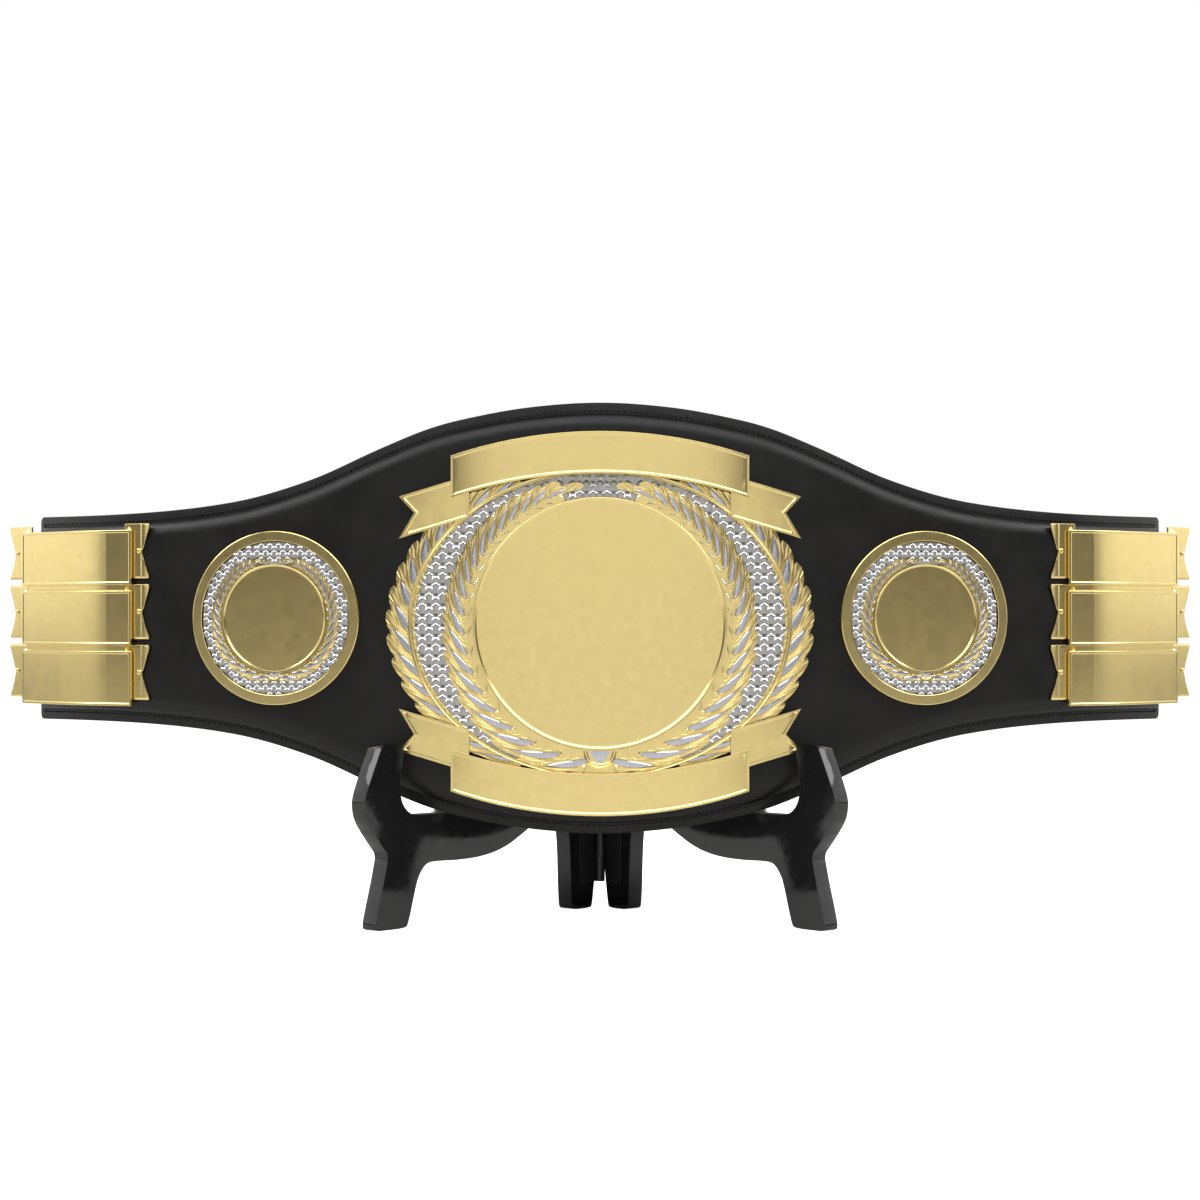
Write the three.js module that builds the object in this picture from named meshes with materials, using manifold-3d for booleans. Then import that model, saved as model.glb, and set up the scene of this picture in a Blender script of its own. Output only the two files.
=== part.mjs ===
// A championship title belt, laid open and held upright by a small hinged easel stand.
// Millimetres, +Z up. The front faces -Y, and the part stands on Z = 0.
import * as THREE from "three";
import { mergeVertices } from "three/addons/utils/BufferGeometryUtils.js";
import Module from "manifold-3d";

const wasm = await Module();
wasm.setup();

// Clearance between two pieces that touch, and how deep joined castings run into each other
const seatGap = 0.3;
const weldDepth = 0.5;
const mergeDistance = 1e-4;

// Strap: half sizes measured from its middle, along the leather
const strapHalfLength = 434;
const strapHalfHeight = 147.5;
const strapCentreHeight = 210;
const strapEndYaw = 49;
const strapCornerRadius = 4;
const straightShare = 0.75;
const backingThickness = 3;
const padThickness = 7;
const padBorder = 7;
const padShoulder = 10;

// Centre plate
const plateDrop = 3.8;
const plateThickness = 2.4;
const fieldThickness = 1.4;
const overlayThickness = 1.8;
const scaleRelief = 0.8;
const scaleWidth = 9.6;
const scaleHeight = 7;
const discRadius = 86;
const rimWidth = 2.6;
const rimRelief = 0.7;
const wreathWidth = 21.1;
const wreathLeaves = 19;
const wreathLeafWidth = 4.2;
const wreathKnotRadius = 8;
const wreathTopGap = 13;
const wreathBranchEnd = 21;
const wreathFirstRoot = 9;
const wreathTipMargin = 6;
const leafLean = 1.45;
const leafRootShare = 0.21;
const leafTipShare = 0.83;
const leafWidestShare = 0.45;
const sawDepth = 0.09;
const ovalHalfWidth = 130.5;
const ovalHalfHeight = 104.9;
const ovalLineWidth = 3.2;
const laurelReach = 15.4;
const laurelRise = 6;
const laurelSpanDegrees = 66;
const laurelScallop = 1.6;
const laurelLeaves = 15;
const laurelLeafWidth = 5;
const laurelLeafLean = 1.15;
const laurelRootReach = 0.1;
const laurelTipReach = 0.72;
const edgeInset = 1.2;

// Folded ribbons above and below the centre plate
const ribbonHalfWidth = 100.7;
const ribbonHeight = 28.6;
const ribbonMiddle = 116.2;
const ribbonArcRadius = 316;
const ribbonThickness = 1.6;
const ribbonCrown = 1.6;
const ribbonLift = 1;
const tailLength = 47.8;
const tailTuck = 12.2;
const tailDrop = 13.1;
const tailSlope = 0.3;
const tailNotch = 10.4;

// Side medallions, at a share of the strap's half length
const medallionShare = 0.518;
const medallionPlace = medallionShare * strapHalfLength;
const medallionRadius = 60;
const medallionPlateThickness = 2;
const medallionRimWidth = 7.4;
const medallionRimHeight = 2.4;
const medallionFieldThickness = 1;
const medallionOverlayThickness = 1.2;
const medallionDiscRadius = 36.9;
const medallionWreathWidth = 8.6;
const medallionLeaves = 11;
const medallionLeafWidth = 2.2;
const medallionKnotRadius = 3.4;

// End plates: three folded bars a side, which reach a little past the strap's end
const barCount = 3;
const barOverhang = 13.8;
const barLength = 114.5;
const barStart = strapHalfLength + barOverhang - barLength;
const barHeight = 38.3;
const barPitch = 42.5;
const barFace = 2;
const barDepth = 5.3;
const barTaper = 5;
const foldRise = 4.4;
const linkInset = 5;
const linkSetback = 1;
const linkThickness = 2.4;
const innerWingReach = 14.6;
const outerWingReach = 22.2;
const wingThickness = 1.8;
const wingTuck = 2;
const wingNotch = 7;
const wingCorner = 1.5;
const pinPlace = 9.5;
const pinRadius = 1;
const pinHeadRadius = 1.9;
const pinHeadHeight = 1.1;

// Stand
const boardThickness = 13;
const boardSpread = 42.2;
const boardFrontReach = 65;
const boardBackReach = 155;
const hingeBarrelRadius = 3.5;
const hingePinRadius = 1.3;
const hingeKnuckles = 5;
const knuckleLength = 19;
const hingeLow = 19;
const leafLength = 20;
const leafThickness = 1.5;

// Half height of the strap: shares of its half length and of its middle half height
const strapOutline = [
  { along: 0, height: 1 },
  { along: 0.115, height: 0.977 },
  { along: 0.217, height: 0.923 },
  { along: 0.274, height: 0.877 },
  { along: 0.348, height: 0.79 },
  { along: 0.463, height: 0.645 },
  { along: 0.592, height: 0.546 },
  { along: 0.779, height: 0.498 },
  { along: 1.1, height: 0.498 },
];

// How far the belt has turned back: shares of its half length and of the yaw at its end
const strapBend = [
  { along: 0, yaw: 0, steps: 0 },
  { along: 0.32, yaw: 0.14, steps: 2 },
  { along: 0.52, yaw: 0.26, steps: 1 },
  { along: 0.68, yaw: 0.385, steps: 1 },
  { along: 0.77, yaw: 0.56, steps: 2 },
  { along: 0.91, yaw: 0.87, steps: 3 },
  { along: 1, yaw: 0.97, steps: 1 },
  { along: 1.1, yaw: 1, steps: 1 },
];

// Edge of the pad: shares of the shoulder's width and of the pad's thickness
const padShoulderRows = [
  { inward: 0, rise: 0.4 },
  { inward: 0.3, rise: 0.8 },
  { inward: 1, rise: 1 },
];

// Board edge before the seat: shares of the front reach and of the ledge height.
// It runs up the front, over the hook and down to the ledge.
const boardFrontRows = [
  { along: 0.45, up: 0 },
  { along: 0.03, up: 0 },
  { along: 0, up: 0.04 },
  { along: 0.15, up: 0.45 },
  { along: 0.205, up: 0.66 },
  { along: 0.04, up: 0.82 },
  { along: -0.09, up: 0.95 },
  { along: -0.125, up: 1.08 },
  { along: -0.12, up: 1.2 },
  { along: 0.113, up: 1.6 },
  { along: 0.336, up: 1.6 },
  { along: 0.43, up: 1.56 },
  { along: 0.4, up: 1.43 },
  { along: 0.373, up: 1.3 },
  { along: 0.373, up: 1.19 },
  { along: 0.41, up: 1.09 },
  { along: 0.5, up: 1.015 },
  { along: 0.59, up: 1 },
  { along: 1, up: 1 },
];

// Board edge behind the seat: shares of the back reach and of the ledge height.
// It runs up the rest behind the belt, down to the hinge, the back foot and the arch.
const boardBackRows = [
  { along: 0, up: 2.5 },
  { along: 0.03, up: 2.56 },
  { along: 0.12, up: 2.56 },
  { along: 0.2, up: 2.46 },
  { along: 0.45, up: 1.95 },
  { along: 0.75, up: 1.6 },
  { along: 1, up: 1.5 },
  { along: 1, up: 0.7 },
  { along: 0.97, up: 0.03 },
  { along: 0.955, up: 0 },
  { along: 0.845, up: 0 },
  { along: 0.83, up: 0.04 },
  { along: 0.82, up: 0.7 },
  { along: 0.795, up: 0.87 },
  { along: 0.73, up: 0.95 },
  { along: 0.62, up: 0.92 },
  { along: 0.5, up: 0.78 },
  { along: 0.36, up: 0.64 },
  { along: 0.22, up: 0.58 },
  { along: 0.07, up: 0.565 },
];

// Board edge from the arch down the front leg: shares of the front reach and the ledge height
const boardLegRows = [
  { along: 0.87, up: 0.58 },
  { along: 0.76, up: 0.56 },
  { along: 0.66, up: 0.43 },
  { along: 0.62, up: 0.37 },
  { along: 0.48, up: 0.04 },
];

// Heights above the back of the leather at which each layer starts
const padBase = backingThickness + seatGap;
const plateBase = padBase + padThickness + seatGap;
const fieldBase = plateBase + plateThickness + seatGap;
const overlayBase = fieldBase + fieldThickness + seatGap;
const tailBase = overlayBase + overlayThickness + seatGap;
const bandBase = tailBase + ribbonThickness + ribbonLift;

function material(color, roughness, metalness) {
  return new THREE.MeshStandardMaterial({ color, roughness, metalness });
}

const gold = material("#d9c27c", 0.3, 1);
const silver = material("#bdbdc2", 0.35, 1);
const leather = material("#262423", 0.55, 0);
const blackBoard = material("#0c0c0d", 0.15, 0);
const blackSteel = material("#1b1b1d", 0.35, 0.6);

// A smooth curve through the rows of a table, level where it starts
function curveThrough(rows, column) {
  const places = rows.map((row) => row.along);
  const values = rows.map((row) => row[column]);
  const curve = new THREE.CubicInterpolant(places, values, 1);
  curve.settings = {
    endingStart: THREE.ZeroSlopeEnding,
    endingEnd: THREE.ZeroCurvatureEnding,
  };
  return (along) => curve.evaluate(along)[0];
}

const heightShare = curveThrough(strapOutline, "height");
const yawShare = curveThrough(strapBend, "yaw");

function strapHalfHeightAt(place) {
  return strapHalfHeight * heightShare(Math.abs(place) / strapHalfLength);
}

// Points along half the strap where it turns a little, from the middle to past its end.
// Lengths are counted along the back of the leather, and along the back of the plates on it.
function halfBendPath() {
  const places = [0];
  for (let row = 1; row < strapBend.length; row++) {
    const { along, steps } = strapBend[row];
    const before = strapBend[row - 1].along;
    for (let step = 1; step <= steps; step++) {
      places.push(strapHalfLength * (before + ((along - before) * step) / steps));
    }
  }
  const yawAt = (place) => THREE.MathUtils.degToRad(strapEndYaw * yawShare(place / strapHalfLength));
  const path = [{ onLeather: 0, onPlates: 0, x: 0, y: 0, outX: 0, outY: -1 }];
  for (const place of places.slice(1)) {
    const last = path.at(-1);
    const length = place - last.onLeather;
    const turn = yawAt((place + last.onLeather) / 2);
    const x = last.x + length * Math.cos(turn);
    const y = last.y + length * Math.sin(turn);
    const outX = Math.sin(yawAt(place));
    const outY = -Math.cos(yawAt(place));
    const acrossX = x - last.x + plateBase * (outX - last.outX);
    const acrossY = y - last.y + plateBase * (outY - last.outY);
    const onPlates = last.onPlates + Math.hypot(acrossX, acrossY);
    path.push({ onLeather: place, onPlates, x, y, outX, outY });
  }
  return path;
}

const bendPath = halfBendPath();

// Where the belt turns, on both halves, counted on its leather or on its plates
function bendPlaces(layer) {
  const places = bendPath.map((point) => point[layer]);
  return [...places.slice(1).map((place) => -place), ...places].sort((a, b) => a - b);
}

// The stretch of a path on which a value lies, and how far along it
function stretchAt(path, key, value) {
  let index = path.findIndex((point) => point[key] >= value);
  index = index < 1 ? (index < 0 ? path.length - 1 : 1) : index;
  const from = path[index - 1];
  const to = path[index];
  return { from, to, share: (value - from[key]) / (to[key] - from[key]) };
}

// A point of the open belt: along a layer, above its centre line and out from the leather's back
function bentPoint(layer, along, above, out) {
  const { from, to, share } = stretchAt(bendPath, layer, Math.abs(along));
  const mix = (key) => THREE.MathUtils.lerp(from[key], to[key], share);
  const side = Math.sign(along) || 1;
  return new THREE.Vector3(
    side * (mix("x") + out * mix("outX")),
    mix("y") + out * mix("outY"),
    strapCentreHeight + above,
  );
}

// The two halves of a flat polygon on each side of a line across the strap
function polygonHalves(polygon, place) {
  const left = [];
  const right = [];
  const beyond = (point) => (Math.abs(point.x - place) < mergeDistance ? 0 : point.x - place);
  polygon.forEach((point, index) => {
    const next = polygon[(index + 1) % polygon.length];
    const here = beyond(point);
    const there = beyond(next);
    if (here <= 0) left.push(point);
    if (here >= 0) right.push(point);
    if (here * there < 0) {
      const [low, high] = here < there ? [point, next] : [next, point];
      const cut = low.clone().lerp(high, (place - low.x) / (high.x - low.x));
      cut.x = place;
      left.push(cut);
      right.push(cut);
    }
  });
  return [left, right];
}

// The flat geometry, cut at the places where the belt turns, and laid along the open belt
function bentAlong(layer, flat) {
  const turns = bendPlaces(layer);
  const loose = flat.index ? flat.toNonIndexed() : flat;
  const positions = loose.getAttribute("position");
  const bent = [];
  for (let index = 0; index < positions.count; index += 3) {
    const cornerAt = (corner) => new THREE.Vector3().fromBufferAttribute(positions, index + corner);
    const corners = [0, 1, 2].map(cornerAt);
    const least = Math.min(...corners.map((corner) => corner.x));
    const most = Math.max(...corners.map((corner) => corner.x));
    let pieces = [corners];
    for (const place of turns) {
      if (place > least + mergeDistance && place < most - mergeDistance) {
        pieces = pieces.flatMap((piece) => polygonHalves(piece, place)).filter((piece) => piece.length > 2);
      }
    }
    for (const piece of pieces) {
      for (let corner = 2; corner < piece.length; corner++) {
        bent.push(piece[0], piece[corner - 1], piece[corner]);
      }
    }
  }
  const points = bent.map((point) => bentPoint(layer, point.x, point.y, point.z));
  return mergedGeometry(points.flatMap((point) => point.toArray()));
}

function mergedGeometry(coordinates) {
  const geometry = new THREE.BufferGeometry();
  geometry.setAttribute("position", new THREE.Float32BufferAttribute(coordinates, 3));
  return mergeVertices(geometry, mergeDistance);
}

function solidFrom(geometry) {
  const bare = new THREE.BufferGeometry();
  bare.setAttribute("position", geometry.getAttribute("position"));
  bare.setIndex(geometry.index);
  const merged = mergeVertices(bare, mergeDistance);
  const mesh = new wasm.Mesh({
    numProp: 3,
    vertProperties: new Float32Array(merged.getAttribute("position").array),
    triVerts: new Uint32Array(merged.index.array),
  });
  return new wasm.Manifold(mesh);
}

function geometryFrom(solid) {
  const mesh = solid.getMesh();
  const geometry = new THREE.BufferGeometry();
  geometry.setAttribute("position", new THREE.BufferAttribute(mesh.vertProperties, 3));
  geometry.setIndex(new THREE.BufferAttribute(mesh.triVerts, 1));
  return geometry;
}

function joined(geometries) {
  return geometryFrom(geometries.map(solidFrom).reduce((all, next) => all.add(next)));
}

function cutBy(geometry, tools) {
  const whole = solidFrom(geometry);
  return geometryFrom(tools.map(solidFrom).reduce((rest, tool) => rest.subtract(tool), whole));
}

// The same geometry on the other side of the belt
function mirrored(geometry) {
  const copy = (geometry.index ? geometry.toNonIndexed() : geometry.clone()).scale(-1, 1, 1);
  const positions = copy.getAttribute("position");
  const coordinates = [];
  for (let index = 0; index < positions.count; index += 3) {
    for (const corner of [0, 2, 1]) {
      coordinates.push(...new THREE.Vector3().fromBufferAttribute(positions, index + corner));
    }
  }
  return mergedGeometry(coordinates);
}

// A closed solid through rings of as many points each, with flat ends
function lofted(rings) {
  const coordinates = [];
  const triangle = (...corners) => corners.forEach((corner) => coordinates.push(...corner));
  for (let index = 1; index < rings.length; index++) {
    const near = rings[index - 1];
    const far = rings[index];
    near.forEach((point, corner) => {
      const next = (corner + 1) % near.length;
      triangle(point, far[corner], far[next]);
      triangle(point, far[next], near[next]);
    });
  }
  const first = rings[0];
  const last = rings.at(-1);
  for (let corner = 2; corner < first.length; corner++) {
    triangle(first[0], first[corner - 1], first[corner]);
    triangle(last[0], last[corner], last[corner - 1]);
  }
  return mergedGeometry(coordinates);
}

// A ring of four corners at one place along the belt, for lofted()
function crossRing(along, low, high, back, front) {
  return [
    [along, low, back],
    [along, low, front],
    [along, high, front],
    [along, high, back],
  ];
}

function block(alongFrom, alongTo, low, high, back, front) {
  return lofted([crossRing(alongFrom, low, high, back, front), crossRing(alongTo, low, high, back, front)]);
}

function flatShape(outline, holes = []) {
  const shape = new THREE.Shape(outline);
  shape.holes = holes.map((hole) => new THREE.Path(hole));
  return shape;
}

// A flat plate of one outline, standing out from the strap between two heights
function plate(outline, holes, back, thickness) {
  const geometry = new THREE.ExtrudeGeometry(flatShape(outline, holes), {
    depth: thickness,
    bevelEnabled: false,
  });
  return geometry.translate(0, 0, back);
}

// A round piece turned from a profile of [radius, height] rows
function turned(profile, segments) {
  const points = profile.map(([radius, height]) => new THREE.Vector2(radius, height));
  return new THREE.LatheGeometry(points, segments).rotateX(Math.PI / 2);
}

function ovalPoint(halfWidth, halfHeight, angle) {
  return new THREE.Vector2(halfWidth * Math.cos(angle), halfHeight * Math.sin(angle));
}

function ovalOutline(halfWidth, halfHeight, count) {
  const angleOf = (index) => (2 * Math.PI * index) / count;
  return Array.from({ length: count }, (_, index) => ovalPoint(halfWidth, halfHeight, angleOf(index)));
}

// A point of a wreath: the angle grows from the bottom up each side
function wreathPoint(radius, degrees) {
  const angle = THREE.MathUtils.degToRad(degrees);
  return new THREE.Vector2(radius * Math.sin(angle), -radius * Math.cos(angle));
}

function acrossMiddle({ x, y }) {
  return new THREE.Vector2(-x, y);
}

// The slim window between the root and the tip of a leaf, widest a little before its middle
function leafWindow(root, tip, width) {
  const axis = tip.clone().sub(root);
  const across = new THREE.Vector2(-axis.y, axis.x).normalize();
  const widest = root.clone().addScaledVector(axis, leafWidestShare);
  const side = (sign) => widest.clone().addScaledVector(across, (sign * width) / 2);
  return [root, side(-1), tip, side(1)];
}

// A wreath open at the top: a saw edge of leaf tips outside, leaf windows all through
function wreath({ inner, width, leaves, back, thickness, leafWidth, knotRadius }) {
  const reach = 180 - wreathTopGap;
  const edge = [];
  for (let leaf = 0; leaf < leaves; leaf++) {
    edge.push(wreathPoint(inner + width * (1 - sawDepth), ((leaf + 0.15) * reach) / leaves));
    edge.push(wreathPoint(inner + width, ((leaf + 0.8) * reach) / leaves));
  }
  const outline = [...edge.map(acrossMiddle).reverse(), ...edge];
  for (let step = leaves; step >= -leaves; step--) {
    outline.push(wreathPoint(inner, ((180 - wreathBranchEnd) * step) / leaves));
  }
  const windows = [];
  const pitch = (reach - wreathTipMargin - wreathFirstRoot) / (leaves - 1 + leafLean);
  for (let leaf = 0; leaf < leaves; leaf++) {
    const rootAngle = wreathFirstRoot + pitch * leaf;
    const root = wreathPoint(inner + leafRootShare * width, rootAngle);
    const tip = wreathPoint(inner + leafTipShare * width, rootAngle + leafLean * pitch);
    const leafOutline = leafWindow(root, tip, leafWidth);
    windows.push(leafOutline, leafOutline.map(acrossMiddle));
  }
  windows.push(halfRound(-(inner + sawDepth * width), knotRadius));
  return plate(outline, windows, back, thickness);
}

// A half disc that hangs from a level edge
function halfRound(edgeHeight, radius) {
  const steps = 6;
  return Array.from({ length: steps + 1 }, (_, step) => {
    const angle = Math.PI * (1 + step / steps);
    return new THREE.Vector2(radius * Math.cos(angle), edgeHeight + radius * Math.sin(angle));
  });
}

function centrePlatePiece(geometry) {
  return bentAlong("onPlates", geometry.translate(0, -plateDrop, 0));
}

// Where the laurel outside the oval starts and ends, as the angle of the oval
const laurelSpan = THREE.MathUtils.degToRad(laurelSpanDegrees);

// Outline of the centre plate: the oval, with the laurel standing out on both sides
function plateOutline(inset, scalloped) {
  const count = scalloped ? 2 * laurelLeaves : laurelLeaves;
  const capSteps = 8;
  const capGap = 0.02;
  const laurel = [];
  for (let step = 0; step <= count; step++) {
    const angle = laurelSpan * ((2 * step) / count - 1);
    const bump = scalloped ? step % 2 : 0.5;
    const reach = laurelReach - laurelScallop * (1 - bump);
    laurel.push(ovalPoint(ovalHalfWidth + reach - inset, ovalHalfHeight + laurelRise - inset, angle));
  }
  const cap = [];
  for (let step = 0; step <= capSteps; step++) {
    const angle = laurelSpan + capGap + ((Math.PI - 2 * laurelSpan - 2 * capGap) * step) / capSteps;
    cap.push(ovalPoint(ovalHalfWidth - inset, ovalHalfHeight - inset, angle));
  }
  const half = [...laurel, ...cap];
  return [...half, ...half.map(({ x, y }) => new THREE.Vector2(-x, -y))];
}

// Raised scales wherever a whole scale fits inside a region
function raisedScales(width, height, back, relief, fits) {
  const scales = [];
  const rowsUp = Math.ceil(ovalHalfHeight / height);
  const columns = Math.ceil(ovalHalfWidth / width);
  for (let row = -rowsUp; row <= rowsUp; row++) {
    for (let column = -columns; column <= columns; column++) {
      const x = (column + (row % 2 ? 0.5 : 0)) * width;
      const y = row * height;
      const outline = scaleOutline(x, y, width, height);
      if (outline.every(fits)) scales.push(plate(outline, [], back - weldDepth, relief + weldDepth));
    }
  }
  return scales;
}

// One scale: a pointed arch on a narrow foot
function scaleOutline(x, y, width, height) {
  return [
    new THREE.Vector2(x, y - 0.45 * height),
    new THREE.Vector2(x + 0.42 * width, y - 0.05 * height),
    new THREE.Vector2(x, y + 0.5 * height),
    new THREE.Vector2(x - 0.42 * width, y - 0.05 * height),
  ];
}

function insideOval(point, halfWidth, halfHeight) {
  return (point.x / halfWidth) ** 2 + (point.y / halfHeight) ** 2 < 1;
}

function strapBacking() {
  const rings = strapPlaces(strapHalfLength).map((along) => {
    const toEnd = strapHalfLength - Math.abs(along);
    const corner = Math.max(0, strapCornerRadius - toEnd) / strapCornerRadius;
    const rounding = strapCornerRadius * (1 - Math.sqrt(1 - corner ** 2));
    const half = strapHalfHeightAt(along) - rounding;
    return crossRing(along, -half, half, 0, backingThickness);
  });
  return bentAlong("onLeather", lofted(rings));
}

// Places of the strap's sections: where it turns, halfway between, and close to its ends
function strapPlaces(halfLength) {
  const ends = [0, 0.15, 0.4, 1].map((share) => halfLength - share * padShoulder);
  const turns = bendPlaces("onLeather").filter((place) => Math.abs(place) < halfLength - padShoulder - 1);
  const between = turns.slice(1).map((place, index) => (place + turns[index]) / 2);
  const curved = between.filter((place) => Math.abs(place) < straightShare * halfLength);
  return [...turns, ...curved, ...ends, ...ends.map((end) => -end)].sort((a, b) => a - b);
}

// The padded front: level in the middle, rounded down to the border all round
function strapPad() {
  const halfLength = strapHalfLength - padBorder;
  const rise = (inward) => {
    const share = Math.min(1, Math.max(0, inward / padShoulder));
    const { from, to, share: mix } = stretchAt(padShoulderRows, "inward", share);
    return THREE.MathUtils.lerp(from.rise, to.rise, mix);
  };
  const rings = strapPlaces(halfLength).map((along) => {
    const half = strapHalfHeightAt(along) - padBorder;
    const endRise = rise(halfLength - Math.abs(along));
    const edge = padShoulderRows.map((row) => ({
      above: half - padShoulder * row.inward,
      out: padBase + padThickness * Math.min(row.rise, endRise),
    }));
    const up = edge.map(({ above, out }) => [along, -above, out]);
    const down = edge.map(({ above, out }) => [along, above, out]).reverse();
    return [[along, -half, padBase], ...up, ...down, [along, half, padBase]];
  });
  return bentAlong("onLeather", lofted(rings));
}

function mainBackPlate() {
  return centrePlatePiece(plate(plateOutline(edgeInset, false), [], plateBase, plateThickness));
}

function mainScaleField() {
  const wreathOuter = discRadius + seatGap + wreathWidth;
  const fits = (point) =>
    insideOval(point, ovalHalfWidth - ovalLineWidth - 1, ovalHalfHeight - ovalLineWidth - 1) &&
    point.length() > wreathOuter + 1;
  const top = fieldBase + fieldThickness;
  const field = plate(plateOutline(2 * edgeInset, false), [], fieldBase, fieldThickness);
  const scales = raisedScales(scaleWidth, scaleHeight, top, scaleRelief, fits);
  return centrePlatePiece(joined([field, ...scales]));
}

// The right half of the oval frame line, with the laurel that leans on it outside
function mainOuterWreath() {
  const windows = [];
  const endMargin = 0.1;
  const pitch = (2 * laurelSpan) / (laurelLeaves - 1 + laurelLeafLean + 2 * endMargin);
  for (let leaf = 0; leaf < laurelLeaves; leaf++) {
    const angle = -laurelSpan + pitch * (leaf + endMargin);
    const reachPoint = (share, turn) =>
      ovalPoint(ovalHalfWidth + share * laurelReach, ovalHalfHeight + share * laurelRise, turn);
    const root = reachPoint(laurelRootReach, angle);
    const tip = reachPoint(laurelTipReach, angle + laurelLeafLean * pitch);
    const leafOutline = leafWindow(root, tip, laurelLeafWidth);
    windows.push(leafOutline, leafOutline.map(acrossMiddle));
  }
  const opening = ovalOutline(ovalHalfWidth - ovalLineWidth, ovalHalfHeight - ovalLineWidth, 48);
  const whole = plate(plateOutline(0, true), [opening, ...windows], overlayBase, overlayThickness);
  const wreathOuter = discRadius + wreathWidth + 2 * seatGap;
  const reach = 2 * ovalHalfWidth;
  const tools = [
    plate(ovalOutline(wreathOuter, wreathOuter, 48), [], overlayBase - 1, overlayThickness + 2),
    block(-reach, 0, -reach, reach, overlayBase - 1, overlayBase + overlayThickness + 1),
  ];
  return centrePlatePiece(cutBy(whole, tools));
}

function mainRoundWreath() {
  return centrePlatePiece(
    wreath({
      inner: discRadius + seatGap,
      width: wreathWidth,
      leaves: wreathLeaves,
      back: overlayBase,
      thickness: overlayThickness,
      leafWidth: wreathLeafWidth,
      knotRadius: wreathKnotRadius,
    }),
  );
}

// A plain disc with a raised rim
function rimmedDisc(radius, back, thickness, segments) {
  const front = back + thickness;
  const profile = [
    [0, back],
    [radius, back],
    [radius, front + rimRelief],
    [radius - rimWidth, front + rimRelief],
    [radius - rimWidth, front],
    [0, front],
  ];
  return turned(profile, segments);
}

function mainDisc() {
  return centrePlatePiece(rimmedDisc(discRadius, overlayBase, overlayThickness, 44));
}

// Height of the bowed band's middle line, above the middle of the plate
function ribbonMiddleAt(x) {
  return ribbonMiddle - (ribbonArcRadius - Math.sqrt(ribbonArcRadius ** 2 - x ** 2));
}

// A folded ribbon: a bowed band whose ends fold behind it into two swallow tails
function ribbon(upDown) {
  const steps = 10;
  const half = ribbonHeight / 2;
  const bandRing = (x, back) => {
    const middle = ribbonMiddleAt(x);
    return crossRing(x, middle - half, middle + half, back, back + ribbonThickness);
  };
  const bandRings = [];
  for (let step = 0; step <= steps; step++) {
    const share = (2 * step) / steps - 1;
    bandRings.push(bandRing(share * ribbonHalfWidth, bandBase + ribbonCrown * (1 - share ** 2)));
  }
  const foldX = ribbonHalfWidth - tailTuck;
  const tailMiddle = ribbonMiddleAt(ribbonHalfWidth) - tailDrop;
  const tailLow = tailMiddle - half;
  const tailHigh = tailMiddle + half;
  const fold = lofted([
    crossRing(foldX, tailLow, tailHigh, tailBase, tailBase + ribbonThickness),
    bandRing(ribbonHalfWidth, bandBase),
  ]);
  const tipX = foldX + tailLength;
  const tipDrop = tailSlope * tailLength;
  const tailOutline = [
    new THREE.Vector2(foldX, tailLow),
    new THREE.Vector2(tipX, tailLow - tipDrop),
    new THREE.Vector2(tipX - tailNotch, tailMiddle - tipDrop + tailSlope * tailNotch),
    new THREE.Vector2(tipX, tailHigh - tipDrop),
    new THREE.Vector2(foldX, tailHigh),
  ];
  const tail = plate(tailOutline, [], tailBase, ribbonThickness);
  const whole = joined([lofted(bandRings), fold, tail, mirrored(fold), mirrored(tail)]);
  const turnedOver = upDown > 0 ? whole : mirrored(whole).rotateZ(Math.PI);
  return centrePlatePiece(turnedOver);
}

const medallionFieldBase = plateBase + medallionPlateThickness + seatGap;
const medallionOverlayBase = medallionFieldBase + medallionFieldThickness + seatGap;

function medallionPiece(geometry) {
  return bentAlong("onPlates", geometry.translate(medallionPlace, 0, 0));
}

function medallionRim() {
  const front = plateBase + medallionPlateThickness;
  const inner = medallionRadius - medallionRimWidth;
  const profile = [
    [0, plateBase],
    [medallionRadius, plateBase],
    [medallionRadius, front + medallionRimHeight],
    [inner, front + medallionRimHeight],
    [inner, front],
    [0, front],
  ];
  return medallionPiece(turned(profile, 32));
}

function medallionScaleField() {
  const outer = medallionRadius - medallionRimWidth - seatGap;
  const front = medallionFieldBase + medallionFieldThickness;
  const profile = [
    [0, medallionFieldBase],
    [outer, medallionFieldBase],
    [outer, front],
    [0, front],
  ];
  return medallionPiece(turned(profile, 32));
}

function medallionWreath() {
  return medallionPiece(
    wreath({
      inner: medallionDiscRadius + seatGap,
      width: medallionWreathWidth,
      leaves: medallionLeaves,
      back: medallionOverlayBase,
      thickness: medallionOverlayThickness,
      leafWidth: medallionLeafWidth,
      knotRadius: medallionKnotRadius,
    }),
  );
}

function medallionDisc() {
  const disc = rimmedDisc(medallionDiscRadius, medallionOverlayBase, medallionOverlayThickness, 28);
  return medallionPiece(disc);
}

function barBottom(bar) {
  return (bar - (barCount - 1) / 2) * barPitch - barHeight / 2;
}

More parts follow.
